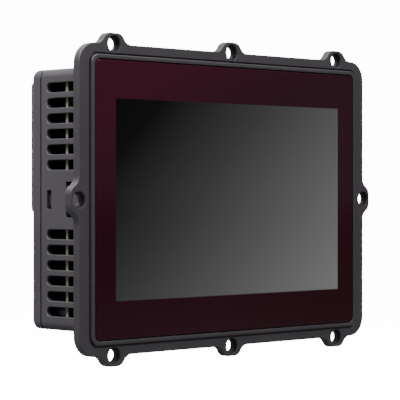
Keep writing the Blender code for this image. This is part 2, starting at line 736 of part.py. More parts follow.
def make_board_parts():
    """What stands on the board's back: square packages, round parts, heat sink and battery."""
    square = (PROCESSOR_HALF, PROCESSOR_HALF)
    coil = (INDUCTOR_HALF, INDUCTOR_HALF)
    for name, centre, half, radius, back, finish in (
        ("processor", PROCESSOR_CENTRE, square, 0.6, PROCESSOR_BACK, BLACK_PLASTIC),
        ("memory_chip", MEMORY_CENTRE, MEMORY_HALF, 0.3, MEMORY_BACK, BLACK_PLASTIC),
        ("inductor", INDUCTOR_CENTRE, coil, 1.5, INDUCTOR_BACK, FERRITE),
    ):
        outline = rounded(*half, radius, centre, steps=2)
        turned(name, [(outline, PARTS_FRONT), (outline, back)], finish)

    mesh = bmesh.new()
    low, high = PROCESSOR_CENTRE[1] - SINK_HALF, PROCESSOR_CENTRE[1] + SINK_HALF
    bar(mesh, heat_sink_outline(), low, high, "Z")
    paint(build("heat_sink", mesh), *ANODISED)

    for number, centre in enumerate(CAPACITOR_CENTRES, 1):
        body, top = circle(CAPACITOR_RADIUS, centre), circle(CAPACITOR_RADIUS - 0.4, centre)
        turned(f"capacitor_{number}", [(body, PARTS_FRONT), (body, CAPACITOR_BACK - 0.6),
                                       (top, CAPACITOR_BACK)], CAPACITOR_FOIL)

    body, mouth = circle(BUZZER_RADIUS, BUZZER_CENTRE), circle(1.2, BUZZER_CENTRE)
    turned("buzzer", [(body, PARTS_FRONT), (body, BUZZER_BACK), (mouth, BUZZER_BACK),
                      (mouth, BUZZER_BACK - 1.6)], BLACK_PLASTIC)
    make_battery()
    make_display_link()


def heat_sink_outline():
    """Comb profile in X and Y: a base plate with upright fins."""
    left, right = PROCESSOR_CENTRE[0] - SINK_HALF, PROCESSOR_CENTRE[0] + SINK_HALF
    root = SINK_FRONT + SINK_PLATE
    pitch = (right - left - FIN_WIDTH) / (FINS - 1)
    points = [(left, SINK_FRONT), (right, SINK_FRONT)]
    for index in reversed(range(FINS)):
        start = left + pitch * index
        points += [(start + FIN_WIDTH, root), (start + FIN_WIDTH, SINK_BACK)]
        points += [(start, SINK_BACK), (start, root)]
    return [point for point in points if point not in ((left, root), (right, root))]


def make_battery():
    """Coin cell in a cup on the board."""
    holder = rounded(HOLDER_HALF, HOLDER_HALF, 2.0, BATTERY_CENTRE, steps=3)
    cavity = circle(CELL_RADIUS + 0.4, BATTERY_CENTRE, HOLE_STEPS)
    turned("battery_holder", [(holder, PARTS_FRONT), (holder, HOLDER_BACK), (cavity, HOLDER_BACK),
                              (cavity, HOLDER_FLOOR)], BLACK_PLASTIC)
    front = HOLDER_FLOOR + GAP
    cell = circle(CELL_RADIUS, BATTERY_CENTRE, HOLE_STEPS)
    lid = circle(CELL_RADIUS - 0.4, BATTERY_CENTRE, HOLE_STEPS)
    turned("coin_cell", [(lid, front), (cell, front + GAP), (cell, front + CELL_THICKNESS)], STEEL)


def make_display_link():
    """Socket for the display's flat cable on the front of the board, and the cable itself."""
    low, high = CONNECTOR_HEIGHT
    mesh = bmesh.new()
    block(mesh, (-CONNECTOR_HALF, CONNECTOR_FRONT, low), (CONNECTOR_HALF, BOARD_FRONT - GAP, high))
    paint(build("display_connector", mesh), *CREAM_PLASTIC)

    (start_y, start_z), (end_y, end_z) = RIBBON_START, RIBBON_END
    steps = 8
    lower = [(start_y, start_z - RIBBON_TAIL)]
    for step in range(steps + 1):
        share = step / steps
        rise = share * share * (3 - 2 * share)
        lower.append((start_y + (end_y - start_y) * rise, start_z + (end_z - start_z) * share))
    lower.append((end_y, end_z + RIBBON_TIP))
    middle_z = (start_z + end_z) / 2
    upper = [(y - RIBBON_THICKNESS * (1.0 if z > middle_z else 0.7), z) for y, z in lower]
    mesh = bmesh.new()
    bar(mesh, lower + upper[::-1], -RIBBON_HALF_WIDTH, RIBBON_HALF_WIDTH, "X")
    paint(build("display_ribbon", mesh), *RIBBON_FILM)


# ---------------------------------------------------------------- sockets

def make_power_terminal():
    """Header on the board and the three-way screw plug that pulls off downwards."""
    shell = rectangle(POWER_X - HEADER_HALF, PARTS_FRONT, POWER_X + HEADER_HALF, POWER_Y + 6.0)
    inner = HEADER_HALF - 1.0
    cavity = rectangle(POWER_X - inner, POWER_Y - 4.8, POWER_X + inner, POWER_Y + 4.8)
    mesh = bmesh.new()
    skin(mesh, [(shell, HEADER_END), (shell, HEADER_MOUTH), (cavity, HEADER_MOUTH),
                (cavity, HEADER_FLOOR)], "Z")
    header = build("power_header", mesh)
    pins = bmesh.new()
    for way in POWER_WAYS:
        x = POWER_X + way
        block(pins, (x - 0.5, POWER_Y - 1.5, CONTACT_TIP), (x + 0.5, POWER_Y - 0.5, HEADER_FLOOR + 1))
    combine(header, pins, "UNION")
    paint(header, *TERMINAL_GREEN)

    half_x, half_y = PLUG_HALF
    mesh = bmesh.new()
    block(mesh, (POWER_X - half_x, POWER_Y - half_y, PLUG_REAR),
          (POWER_X + half_x, POWER_Y + half_y, PLUG_TIP))
    plug = build("power_plug", mesh, (POWER_X, POWER_Y, (PLUG_REAR + PLUG_TIP) / 2))
    holes = bmesh.new()
    for way in POWER_WAYS:
        x = POWER_X + way
        block(holes, (x - 0.9, POWER_Y - 1.9, CONTACT_TIP - 2), (x + 0.9, POWER_Y - 0.1, PLUG_TIP + 1))
        block(holes, (x - 1.9, POWER_Y - 3.3, PLUG_REAR - 1), (x + 1.9, POWER_Y + 0.5, WIRE_ENTRY_TOP))
        well = circle(TERMINAL_HOLE_RADIUS, (x, TERMINAL_Z))
        bar(holes, well, TERMINAL_HEAD[0] - GAP, POWER_Y + half_y + 1)
    combine(plug, holes, "DIFFERENCE")
    paint(plug, *TERMINAL_GREEN)

    front, back = TERMINAL_HEAD
    for number, way in enumerate(POWER_WAYS, 1):
        x = POWER_X + way
        head = circle(TERMINAL_HOLE_RADIUS - GAP, (x, TERMINAL_Z), SCREW_STEPS)
        slot = rectangle(x - 0.3, TERMINAL_Z - 1.3, x + 0.3, TERMINAL_Z + 1.3)
        turned(f"terminal_screw_{number}", [(head, front), (head, back), (slot, back), (slot, back - 0.8)],
               STEEL, pivot=(x, front, TERMINAL_Z))


def d_outline(half_wide, half_narrow, half_depth, centre):
    """The D shape of a serial connector's shell, wider towards the board."""
    x, y = centre
    corners = [(half_narrow, half_depth), (-half_narrow, half_depth),
               (-half_wide, -half_depth), (half_wide, -half_depth)]
    trim = 1.2
    points = []
    for index, corner in enumerate(corners):
        here = Vector(corner)
        before = (Vector(corners[index - 1]) - here).normalized() * trim
        after = (Vector(corners[(index + 1) % 4]) - here).normalized() * trim
        for point in (here + before, here + (before + after) * 0.3, here + after):
            points.append((x + point.x, y + point.y))
    return points


def make_serial_port():
    """Nine-way D connector with its flange plate and the two hexagonal jack screws."""
    centre = (SERIAL_X, SERIAL_Y)
    body = rectangle(SERIAL_X - 10.0, SERIAL_Y - 6.0, SERIAL_X + 10.0, SERIAL_Y + 5.5)
    plate = rounded(*SERIAL_PLATE_HALF, 0.8, centre, steps=2)
    shell = d_outline(8.4, 7.2, 4.1, centre)
    plate_back, plate_face = SERIAL_PLATE
    mesh = bmesh.new()
    skin(mesh, [(body, SERIAL_END), (body, plate_back), (plate, plate_back), (plate, plate_face),
                (shell, plate_face), (shell, SERIAL_MOUTH)], "Z")
    port = build("serial_port", mesh)
    holes = bmesh.new()
    for side in (-1, 1):
        jack_hole = circle(1.8, (SERIAL_X + side * JACK_OFFSET, SERIAL_Y))
        bar(holes, jack_hole, plate_face - 1, plate_back + 1, "Z")
    for count, y in ((5, SERIAL_Y - PIN_ROW_OFFSET), (4, SERIAL_Y + PIN_ROW_OFFSET)):
        for index in range(count):
            x = SERIAL_X + PIN_PITCH * (index - (count - 1) / 2)
            bar(holes, circle(0.6, (x, y), 6), SERIAL_MOUTH - 1, SERIAL_MOUTH + 3, "Z")
    combine(port, holes, "DIFFERENCE")
    paint(port, *STEEL)

    seat = plate_face - GAP
    for number, side in enumerate((-1, 1), 1):
        spot = (SERIAL_X + side * JACK_OFFSET, SERIAL_Y)
        shank, hexagon = circle(1.45, spot, SCREW_STEPS), circle(2.8, spot, 6)
        bore = circle(1.3, spot, SCREW_STEPS)
        turned(f"jack_screw_{number}", [(shank, -55.0), (shank, seat), (hexagon, seat), (hexagon, -64.0),
                                        (bore, -64.0), (bore, -61.0)], STEEL, "Z")


def ethernet_cavity(x):
    """Mouth of a network socket, with the stepped notch for the plug's latch."""
    low, high = ETHERNET_Y - 4.6, ETHERNET_Y + 2.2
    steps = ((5.9, high), (3.0, high), (3.0, high + 1.5), (1.6, high + 1.5), (1.6, high + 2.6))
    right = [(5.9, low)] + list(steps)
    return [(x + offset, y) for offset, y in right] + [(x - offset, y) for offset, y in reversed(right)]


def make_network_and_usb():
    half_x, half_y = ETHERNET_HALF
    for number, x in enumerate(ETHERNET_XS, 1):
        shell = rectangle(x - half_x, PARTS_FRONT, x + half_x, ETHERNET_Y + half_y)
        cavity = ethernet_cavity(x)
        turned(f"ethernet_port_{number}", [(shell, ETHERNET_END), (shell, SOCKET_FACE), (cavity, SOCKET_FACE),
                                           (cavity, ETHERNET_FLOOR)], STEEL, "Z")

    half_x, half_y = USB_HALF
    shell = rectangle(USB_X - half_x, USB_Y - half_y, USB_X + half_x, USB_Y + half_y)
    reach_x, reach_y = USB_CAVITY_HALF
    cavity = rectangle(USB_X - reach_x, USB_Y - reach_y, USB_X + reach_x, USB_Y + reach_y)
    mesh = bmesh.new()
    skin(mesh, [(shell, USB_END), (shell, SOCKET_FACE), (cavity, SOCKET_FACE), (cavity, USB_FLOOR)], "Z")
    port = build("usb_port", mesh)
    tongue = bmesh.new()
    bar(tongue, rectangle(USB_X - 5.5, USB_Y + 0.2, USB_X + 5.5, USB_Y + 2.0), USB_FLOOR + 1,
        SOCKET_FACE + 0.9, "Z")
    combine(port, tongue, "UNION")
    paint(port, *STEEL)


def make_card_reader():
    """Card slot on the front of the board and the memory card, which pulls out downwards."""
    half_x, half_y = CARD_HALF
    shell = rectangle(CARD_X - half_x - 1.2, CARD_Y - 1.9, CARD_X + half_x + 1.2, BOARD_FRONT - GAP)
    reach_x, reach_y = inset(CARD_HALF, -GAP)
    cavity = rectangle(CARD_X - reach_x, CARD_Y - reach_y, CARD_X + reach_x, CARD_Y + reach_y)
    turned("card_slot", [(shell, SLOT_END), (shell, SLOT_FACE), (cavity, SLOT_FACE),
                         (cavity, SLOT_END - 0.8)], STEEL, "Z")

    left, right = CARD_X - half_x, CARD_X + half_x
    low, high = CARD_HEIGHT
    outline = [(left, low), (right, low), (right, high - CARD_CORNER),
               (right - CARD_CORNER, high), (left, high)]
    turned("memory_card", [(outline, CARD_Y - half_y), (outline, CARD_Y + half_y)], BLACK_PLASTIC,
           pivot=(CARD_X, CARD_Y, low))


def make_reset():
    """Tact switch on the board and the button that reaches through the bottom wall."""
    centre = (RESET_X, RESET_Y)
    base = rectangle(RESET_X - 3.0, PARTS_FRONT, RESET_X + 3.0, SWITCH_BACK)
    key = circle(1.6, centre, SCREW_STEPS)
    turned("reset_switch", [(base, SWITCH_FACE + 4.5), (base, SWITCH_FACE), (key, SWITCH_FACE),
                            (key, SWITCH_FACE - 0.6)], BLACK_PLASTIC, "Z")

    cap, collar, stem = circle(BUTTON_RADIUS, centre), circle(2.9, centre), circle(1.5, centre)
    low, high = BUTTON_COLLAR
    turned("reset_button", [(cap, BUTTON_FACE), (cap, low), (collar, low), (collar, high), (stem, high),
                            (stem, BUTTON_TOP)], GREY_PLASTIC, "Z", pivot=(RESET_X, RESET_Y, BUTTON_FACE))


def main():
    for old in list(bpy.data.objects):
        bpy.data.objects.remove(old, do_unlink=True)
    make_front_bezel()
    make_glass_stack()
    make_panel_gasket()
    make_lcd_bracket()
    make_fasteners()
    make_main_housing()
    make_rear_cover()
    make_main_board()
    make_board_parts()
    make_power_terminal()
    make_serial_port()
    make_network_and_usb()
    make_card_reader()
    make_reset()


main()
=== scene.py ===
"""Looks of the seven-inch HMI touch panel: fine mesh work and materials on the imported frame.

Sizes are in millimetres and become metres where vertices are made. Places come from the frame's
nodes, so every piece sits where the CAD says.
"""
import math

import bmesh
import bpy
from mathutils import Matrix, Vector
from mathutils.geometry import delaunay_2d_cdt


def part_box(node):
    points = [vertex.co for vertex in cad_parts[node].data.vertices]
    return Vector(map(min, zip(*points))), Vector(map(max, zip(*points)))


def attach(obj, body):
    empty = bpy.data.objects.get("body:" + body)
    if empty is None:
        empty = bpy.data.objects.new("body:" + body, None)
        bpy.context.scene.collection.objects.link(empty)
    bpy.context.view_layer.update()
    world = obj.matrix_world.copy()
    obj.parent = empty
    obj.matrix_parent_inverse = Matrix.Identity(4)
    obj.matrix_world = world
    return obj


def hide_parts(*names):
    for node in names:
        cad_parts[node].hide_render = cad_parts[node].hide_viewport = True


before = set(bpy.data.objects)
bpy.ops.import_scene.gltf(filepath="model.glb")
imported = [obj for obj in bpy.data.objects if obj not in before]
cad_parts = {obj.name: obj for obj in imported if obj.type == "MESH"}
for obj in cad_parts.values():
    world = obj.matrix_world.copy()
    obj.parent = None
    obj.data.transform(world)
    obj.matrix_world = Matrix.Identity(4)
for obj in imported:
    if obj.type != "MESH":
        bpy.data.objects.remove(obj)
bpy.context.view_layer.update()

MM = 0.001
CORNER_STEPS = 14
ROUND_STEPS = 32
PANEL = "panel"
SMOOTH_ANGLE = math.radians(38)

AXIS_PLACES = {
    "X": lambda u, v, depth: (depth, u, v),
    "Y": lambda u, v, depth: (u, depth, v),
    "Z": lambda u, v, depth: (u, v, depth),
}


# ---------------------------------------------------------------- places from the frame

def box_mm(node):
    low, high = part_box(node)
    return Vector(low) / MM, Vector(high) / MM


def half_of(node):
    """Half the width and half the height of a node."""
    low, high = box_mm(node)
    return (high.x - low.x) / 2, (high.z - low.z) / 2


EAR_REACH = 5.0
EAR_PITCH = 76.2
bezel_low, bezel_high = box_mm("front_bezel")
glass_low, glass_high = box_mm("touch_glass")
housing_low, housing_high = box_mm("main_housing")
cover_low, cover_high = box_mm("rear_cover")
board_low, board_high = box_mm("main_board")
FLANGE_HALF = (bezel_high.x - EAR_REACH, bezel_high.z - EAR_REACH)
GLASS_HALF = half_of("touch_glass")
HOUSING_HALF = half_of("main_housing")
FLANGE_THICKNESS = 4.0
SCREEN_HALF = (76.2, 45.72)


# ---------------------------------------------------------------- outlines

def arc(centre, radius, start, end, steps):
    points = []
    for step in range(steps + 1):
        angle = math.radians(start + (end - start) * step / steps)
        points.append((centre[0] + radius * math.cos(angle), centre[1] + radius * math.sin(angle)))
    return points


def circle(radius, centre=(0.0, 0.0), steps=ROUND_STEPS):
    return arc(centre, radius, 0, 360, steps)[:-1]


def rectangle(left, low, right, high):
    return [(left, low), (right, low), (right, high), (left, high)]


def rounded(half_width, half_height, radius, centre=(0.0, 0.0), steps=CORNER_STEPS):
    points = []
    for quarter, (side_u, side_v) in enumerate(((1, 1), (-1, 1), (-1, -1), (1, -1))):
        corner = (centre[0] + side_u * (half_width - radius), centre[1] + side_v * (half_height - radius))
        points += arc(corner, radius, quarter * 90, quarter * 90 + 90, steps)
    return points


def inset(half, amount):
    return half[0] - amount, half[1] - amount


def shrunk(outline, amount):
    """The outline moved inwards by amount, point by point, along its own normals."""
    count = len(outline)
    moved = []
    for index, point in enumerate(outline):
        here = Vector(point)
        into = (here - Vector(outline[index - 1])).normalized()
        out_of = (Vector(outline[(index + 1) % count]) - here).normalized()
        along = (into + out_of).normalized()
        shift = Vector((-along.y, along.x)) * amount
        moved.append((here.x + shift.x, here.y + shift.y))
    return moved


EAR_FLAT_HALF = 2.0
EAR_STEPS = 12
FLANGE_RADIUS = 9.5
EAR_HOLE_RADIUS = 2.75
EAR_SEAT_RADIUS = 3.85
EAR_SEAT_FLOOR = -1.8


def ear_profile():
    """(offset, height) points over one ear: a fillet, a round shoulder, a flat top and back down."""
    shoulder = arc((EAR_FLAT_HALF, 0.0), EAR_REACH, 90, 30, EAR_STEPS)
    foot_offset = EAR_FLAT_HALF + 2 * EAR_REACH * math.cos(math.radians(30))
    fillet = arc((foot_offset, EAR_REACH), EAR_REACH, 210, 270, EAR_STEPS)
    flank = shoulder + fillet[1:]
    return [(-offset, height) for offset, height in reversed(flank)] + flank


def ear_centres():
    half_width, half_height = FLANGE_HALF
    rows = [(column * EAR_PITCH, side * half_height) for side in (1, -1) for column in (-1, 0, 1)]
    return rows + [(-half_width, 0.0), (half_width, 0.0)]


def bezel_outline():
    """Walk once round the flange edge, swelling into an ear at every mounting hole."""
    points = []
    for quarter in range(4):
        turn = math.radians(quarter * 90)
        outward = Vector((round(math.cos(turn)), round(math.sin(turn))))
        along = Vector((-outward.y, outward.x))
        reach = FLANGE_HALF[quarter % 2]
        ears = (0.0,) if quarter % 2 == 0 else (-EAR_PITCH, 0.0, EAR_PITCH)
        for ear in ears:
            for offset, height in ear_profile():
                point = outward * (reach + height) + along * (ear + offset)
                points.append((point.x, point.y))
        centre = outward * (reach - FLANGE_RADIUS) + along * (FLANGE_HALF[(quarter + 1) % 2] - FLANGE_RADIUS)
        points += arc(centre, FLANGE_RADIUS, quarter * 90, quarter * 90 + 90, CORNER_STEPS)
    return points


# ---------------------------------------------------------------- mesh tools

def encloses(outline, point):
    crossings = 0
    for (u1, v1), (u2, v2) in zip(outline, outline[1:] + outline[:1]):
        if (v1 > point.y) != (v2 > point.y):
            crossings += point.x < u1 + (u2 - u1) * (point.y - v1) / (v2 - v1)
    return crossings % 2 == 1


def loop(mesh, outline, depth, axis="Y"):
    place = AXIS_PLACES[axis]
    return [mesh.verts.new(Vector(place(u, v, depth)) * MM) for u, v in outline]


def fill(mesh, outer, holes):
    """Fill the flat area inside one (outline, loop) pair and outside the others."""
    rings = [outer] + list(holes)
    points, verts, sides = [], [], []
    for outline, ring in rings:
        first = len(points)
        points += [Vector(point) for point in outline]
        verts += ring
        last = len(points) - 1
        sides += [(index - 1 if index > first else last, index) for index in range(first, last + 1)]
    found = delaunay_2d_cdt(points, sides, [], 1, 1e-6)
    for triangle in found[2]:
        corners = [found[3][index][0] for index in triangle]
        middle = sum((points[index] for index in corners), Vector((0.0, 0.0))) / 3
        if encloses(outer[0], middle) and not any(encloses(outline, middle) for outline, _ in holes):
            mesh.faces.new([verts[index] for index in corners])


def wall(mesh, near, far):
    for index in range(len(near)):
        following = (index + 1) % len(near)
        mesh.faces.new((near[index], near[following], far[following], far[index]))


def skin(mesh, rings, axis="Y", closed=False):
    """A closed body through (outline, depth) rings."""
    loops = [loop(mesh, outline, depth, axis) for outline, depth in rings]
    neighbours = list(range(1, len(rings)))
    if closed:
        neighbours.append(0)
    else:
        mesh.faces.new(loops[0])
        mesh.faces.new(loops[-1])
    for ring in neighbours:
        near, far = (rings[ring - 1][0], loops[ring - 1]), (rings[ring][0], loops[ring])
        if len(near[1]) == len(far[1]):
            wall(mesh, near[1], far[1])
        else:
            outer, inner = (near, far) if encloses(near[0], Vector(far[0][0])) else (far, near)
            fill(mesh, outer, [inner])


def block(mesh, low, high, edge=0.0):
    """An upright box between two corners, with small chamfers where edge is given."""
    width, height = high[0] - low[0], high[2] - low[2]
    centre = ((low[0] + high[0]) / 2, (low[2] + high[2]) / 2)
    if edge == 0.0:
        outline = rectangle(low[0], low[2], high[0], high[2])
        skin(mesh, [(outline, low[1]), (outline, high[1])])
        return
    full = rounded(width / 2, height / 2, edge, centre, steps=3)
    small = rounded(width / 2 - edge * 0.6, height / 2 - edge * 0.6, edge * 0.4, centre, steps=3)
    skin(mesh, [(small, low[1]), (full, low[1] + edge * 0.6), (full, high[1] - edge * 0.6), (small, high[1])])


def made(name, mesh, material, body=PANEL, node=None):
    """Finish a piece: outward normals, even shading, its material, and its place in the model."""
    bmesh.ops.recalc_face_normals(mesh, faces=mesh.faces)
    data = bpy.data.meshes.new(name)
    mesh.to_mesh(data)
    mesh.free()
    piece = bpy.data.objects.new(name, data)
    bpy.context.scene.collection.objects.link(piece)
    data.shade_smooth()
    data.set_sharp_from_angle(angle=SMOOTH_ANGLE)
    data.materials.append(material)
    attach(piece, body)
    if node:
        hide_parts(node)
    return piece


def combine(piece, mesh, operation):
    """Apply a Boolean with the bodies in mesh, then shade the result again."""
    bmesh.ops.recalc_face_normals(mesh, faces=mesh.faces)
    data = bpy.data.meshes.new("tool")
    mesh.to_mesh(data)
    mesh.free()
    tool = bpy.data.objects.new("tool", data)
    bpy.context.scene.collection.objects.link(tool)
    modifier = piece.modifiers.new(operation, "BOOLEAN")
    modifier.operation = operation
    modifier.solver = "EXACT"
    modifier.object = tool
    graph = bpy.context.evaluated_depsgraph_get()
    result = bpy.data.meshes.new_from_object(piece.evaluated_get(graph))
    piece.modifiers.clear()
    piece.data = result
    result.shade_smooth()
    result.set_sharp_from_angle(angle=SMOOTH_ANGLE)
    bpy.data.objects.remove(tool, do_unlink=True)


def even_shading(piece):
    """Keep wide flat faces flat beside their rounded edges."""
    modifier = piece.modifiers.new("Weighted normals", "WEIGHTED_NORMAL")
    modifier.keep_sharp = True
    modifier.weight = 60


# ---------------------------------------------------------------- materials

class Graph:
    """A short way to write a material's node graph."""

    def __init__(self, name):
        self.material = bpy.data.materials.new(name)
        self.material.use_nodes = True
        self.tree = self.material.node_tree
        self.shader = self.tree.nodes["Principled BSDF"]
        coordinates = self.tree.nodes.new("ShaderNodeTexCoord")
        self.position = coordinates.outputs["Object"]

    def link(self, source, target):
        self.tree.links.new(source, target)

    def noise(self, scale, detail=2.0, roughness=0.5):
        node = self.tree.nodes.new("ShaderNodeTexNoise")
        node.inputs["Scale"].default_value = scale
        node.inputs["Detail"].default_value = detail
        node.inputs["Roughness"].default_value = roughness
        self.link(self.position, node.inputs["Vector"])
        return node.outputs["Fac"]

    def math(self, operation, one, other=0.0):
        node = self.tree.nodes.new("ShaderNodeMath")
        node.operation = operation
        for socket, value in zip(node.inputs, (one, other)):
            self.feed(socket, value)
        return node.outputs["Value"]

    def between(self, value, low, high, out_low, out_high):
        node = self.tree.nodes.new("ShaderNodeMapRange")
        for key, number in (("From Min", low), ("From Max", high), ("To Min", out_low), ("To Max", out_high)):
            node.inputs[key].default_value = number
        self.link(value, node.inputs["Value"])
        return node.outputs["Result"]

    def mix(self, share, one, other):
        node = self.tree.nodes.new("ShaderNodeMix")
        node.data_type = "RGBA"
        for name, value in (("Factor", share), ("A", one), ("B", other)):
            self.feed(node.inputs[name], value)
        return node.outputs["Result"]

    def feed(self, socket, value):
        if isinstance(value, tuple):
            socket.default_value = (*value, 1.0)
        elif isinstance(value, (int, float)):
            socket.default_value = value
        else:
            self.link(value, socket)

    def parts(self):
        node = self.tree.nodes.new("ShaderNodeSeparateXYZ")
        self.link(self.position, node.inputs["Vector"])
        return node.outputs["X"], node.outputs["Y"], node.outputs["Z"]

    def ramp(self, share, stops):
        node = self.tree.nodes.new("ShaderNodeValToRGB")
        elements = node.color_ramp.elements
        while len(elements) < len(stops):
            elements.new(0.5)
        for element, (place, colour) in zip(elements, stops):
            element.position = place
            element.color = (*colour, 1.0)
        self.link(share, node.inputs["Fac"])
        return node.outputs["Color"]

    def bump(self, height, strength, distance):
        node = self.tree.nodes.new("ShaderNodeBump")
        node.inputs["Strength"].default_value = strength
        node.inputs["Distance"].default_value = distance
        self.link(height, node.inputs["Height"])
        self.link(node.outputs["Normal"], self.shader.inputs["Normal"])


# Painted shade: near-black colour on the inner faces of the housing and its cover, standing in for the shade
# inside the vents and windows.
PAINTED_SHADE_INSET = 0.4
PAINTED_SHADE_BACK = 39.5
PAINTED_SHADE_COLOUR = (0.025, 0.021, 0.030)


def painted_shade_share(graph):
    """1 on the inside of the housing and its cover, where near-black painted shade stands in for the dark
    recesses behind the vents and windows.
    """
    x, y, z = graph.parts()
    off_x = graph.math("SUBTRACT", graph.math("ABSOLUTE", x), (HOUSING_HALF[0] - PAINTED_SHADE_INSET) * MM)
    off_z = graph.math("SUBTRACT", graph.math("ABSOLUTE", z), (HOUSING_HALF[1] - PAINTED_SHADE_INSET) * MM)
    within = graph.between(graph.math("MAXIMUM", off_x, off_z), -0.00015, 0.0, 1.0, 0.0)
    return graph.math("MULTIPLY", within, graph.math("LESS_THAN", y, PAINTED_SHADE_BACK * MM))


def moulded(name, colour, lighter, roughness=0.55, grain=2600.0, depth=0.00003, shade_painted_inside=False):
    """Moulded plastic: fine spark-eroded grain, slight mottling, faint scuffs and uneven gloss."""
    graph = Graph(name)
    mottling = graph.noise(38.0, 3.0)
    fine = graph.noise(grain, 2.0, 0.6)
    share = graph.between(mottling, 0.35, 0.7, 0.0, 1.0)
    plain = graph.mix(share, colour, lighter)
    scuffs = graph.between(graph.noise(140.0, 6.0, 0.75), 0.62, 0.75, 0.0, 0.35)
    worn = graph.mix(scuffs, plain, tuple(channel * 1.35 for channel in lighter))
    if shade_painted_inside:
        # painted shade: the inner faces turn near-black
        worn = graph.mix(painted_shade_share(graph), worn, PAINTED_SHADE_COLOUR)
    graph.link(worn, graph.shader.inputs["Base Color"])
    graph.link(graph.between(fine, 0.3, 0.7, roughness - 0.07, roughness + 0.08),
               graph.shader.inputs["Roughness"])
    graph.bump(fine, 0.35, depth)
    return graph.material


def metal(name, colour, roughness, grain=900.0):
    """Plated or turned metal with faint scratches."""
    graph = Graph(name)
    fine = graph.noise(grain, 4.0, 0.7)
    darker = tuple(channel * 0.8 for channel in colour)
    graph.link(graph.mix(fine, darker, colour), graph.shader.inputs["Base Color"])
    graph.link(graph.between(fine, 0.3, 0.7, roughness - 0.06, roughness + 0.08),
               graph.shader.inputs["Roughness"])
    graph.shader.inputs["Metallic"].default_value = 1.0
    graph.bump(fine, 0.15, 0.00001)
    return graph.material


def glass_material():
    """Polished cover glass over a dark red print, and over the display with a painted reflection of a soft
    box: black at the top left, brightening towards the lower right.
    """
    graph = Graph("touch_glass_finish")
    x, _, z = graph.parts()
    across = graph.math("DIVIDE", graph.math("ADD", x, SCREEN_HALF[0] * MM), 2 * SCREEN_HALF[0] * MM)
    down = graph.math("DIVIDE", graph.math("SUBTRACT", SCREEN_HALF[1] * MM, z), 2 * SCREEN_HALF[1] * MM)
    lowered = graph.math("MULTIPLY", down, REFLECTION_DOWN_WEIGHT)
    reflection_slope = graph.math("DIVIDE", graph.math("ADD", across, lowered), 1 + REFLECTION_DOWN_WEIGHT)
    # painted reflection: the display's colour ramps from black to grey, standing in for a soft box seen in
    # the glass
    painted_reflection = graph.ramp(reflection_slope, SCREEN_REFLECTION_STOPS)
    border_share = graph.math("DIVIDE", graph.math("ADD", across, down), 2.0)
    border = graph.ramp(border_share, BORDER_STOPS)
    off_x = graph.math("SUBTRACT", graph.math("ABSOLUTE", x), SCREEN_HALF[0] * MM)
    off_z = graph.math("SUBTRACT", graph.math("ABSOLUTE", z), SCREEN_HALF[1] * MM)
    outside = graph.between(graph.math("MAXIMUM", off_x, off_z), -0.0002, 0.0002, 0.0, 1.0)
    graph.link(graph.mix(outside, painted_reflection, border), graph.shader.inputs["Base Color"])
    smudge = graph.noise(24.0, 4.0)
    graph.link(graph.between(smudge, 0.35, 0.7, 0.05, 0.11), graph.shader.inputs["Roughness"])
    graph.shader.inputs["Specular IOR Level"].default_value = 0.15
    return graph.material


def grey(level):
    return (level, level, level)


# Painted reflection on the display: a ramp from black at the top left to grey at the lower right.
REFLECTION_DOWN_WEIGHT = 0.68      # how much going down the screen brightens its painted reflection, against going across
SCREEN_REFLECTION_STOPS = (
    (0.0, grey(0.0003)), (0.12, grey(0.002)), (0.25, grey(0.019)), (0.4, grey(0.04)),
    (0.55, grey(0.068)), (0.7, grey(0.1)), (0.85, grey(0.138)), (1.0, grey(0.18)),
)
BORDER_STOPS = (
    (0.0, (0.037, 0.0040, 0.0120)), (0.35, (0.021, 0.004, 0.0085)),
    (0.75, (0.023, 0.0056, 0.0105)), (1.0, (0.020, 0.0055, 0.0078)),
)


def board_material():
    """Solder mask with faint copper tracks under it, and pale glass fibre along the cut edges."""
    graph = Graph("circuit_board_finish")
    x, _, z = graph.parts()
    edge_x = graph.math("SUBTRACT", graph.math("ABSOLUTE", x), (board_high.x - 0.05) * MM)
    edge_z = graph.math("SUBTRACT", graph.math("ABSOLUTE", z), (board_high.z - 0.05) * MM)
    edge = graph.math("GREATER_THAN", graph.math("MAXIMUM", edge_x, edge_z), 0.0)
    tracks = graph.tree.nodes.new("ShaderNodeTexVoronoi")
    tracks.feature = "DISTANCE_TO_EDGE"
    tracks.distance = "EUCLIDEAN"
    tracks.inputs["Scale"].default_value = 420.0
    graph.link(graph.position, tracks.inputs["Vector"])
    line = graph.math("LESS_THAN", tracks.outputs["Distance"], 0.08)
    mask = graph.mix(line, (0.006, 0.075, 0.022), (0.012, 0.13, 0.04))
    fibre = graph.mix(graph.noise(900.0, 3.0), (0.16, 0.17, 0.13), (0.25, 0.25, 0.2))
    graph.link(graph.mix(edge, mask, fibre), graph.shader.inputs["Base Color"])
    graph.link(graph.between(line, 0.0, 1.0, 0.42, 0.3), graph.shader.inputs["Roughness"])
    graph.bump(line, 0.3, 0.00003)
    return graph.material


BEZEL_FINISH = moulded("bezel_finish", (0.030, 0.0255, 0.031), (0.036, 0.031, 0.037), 0.5)
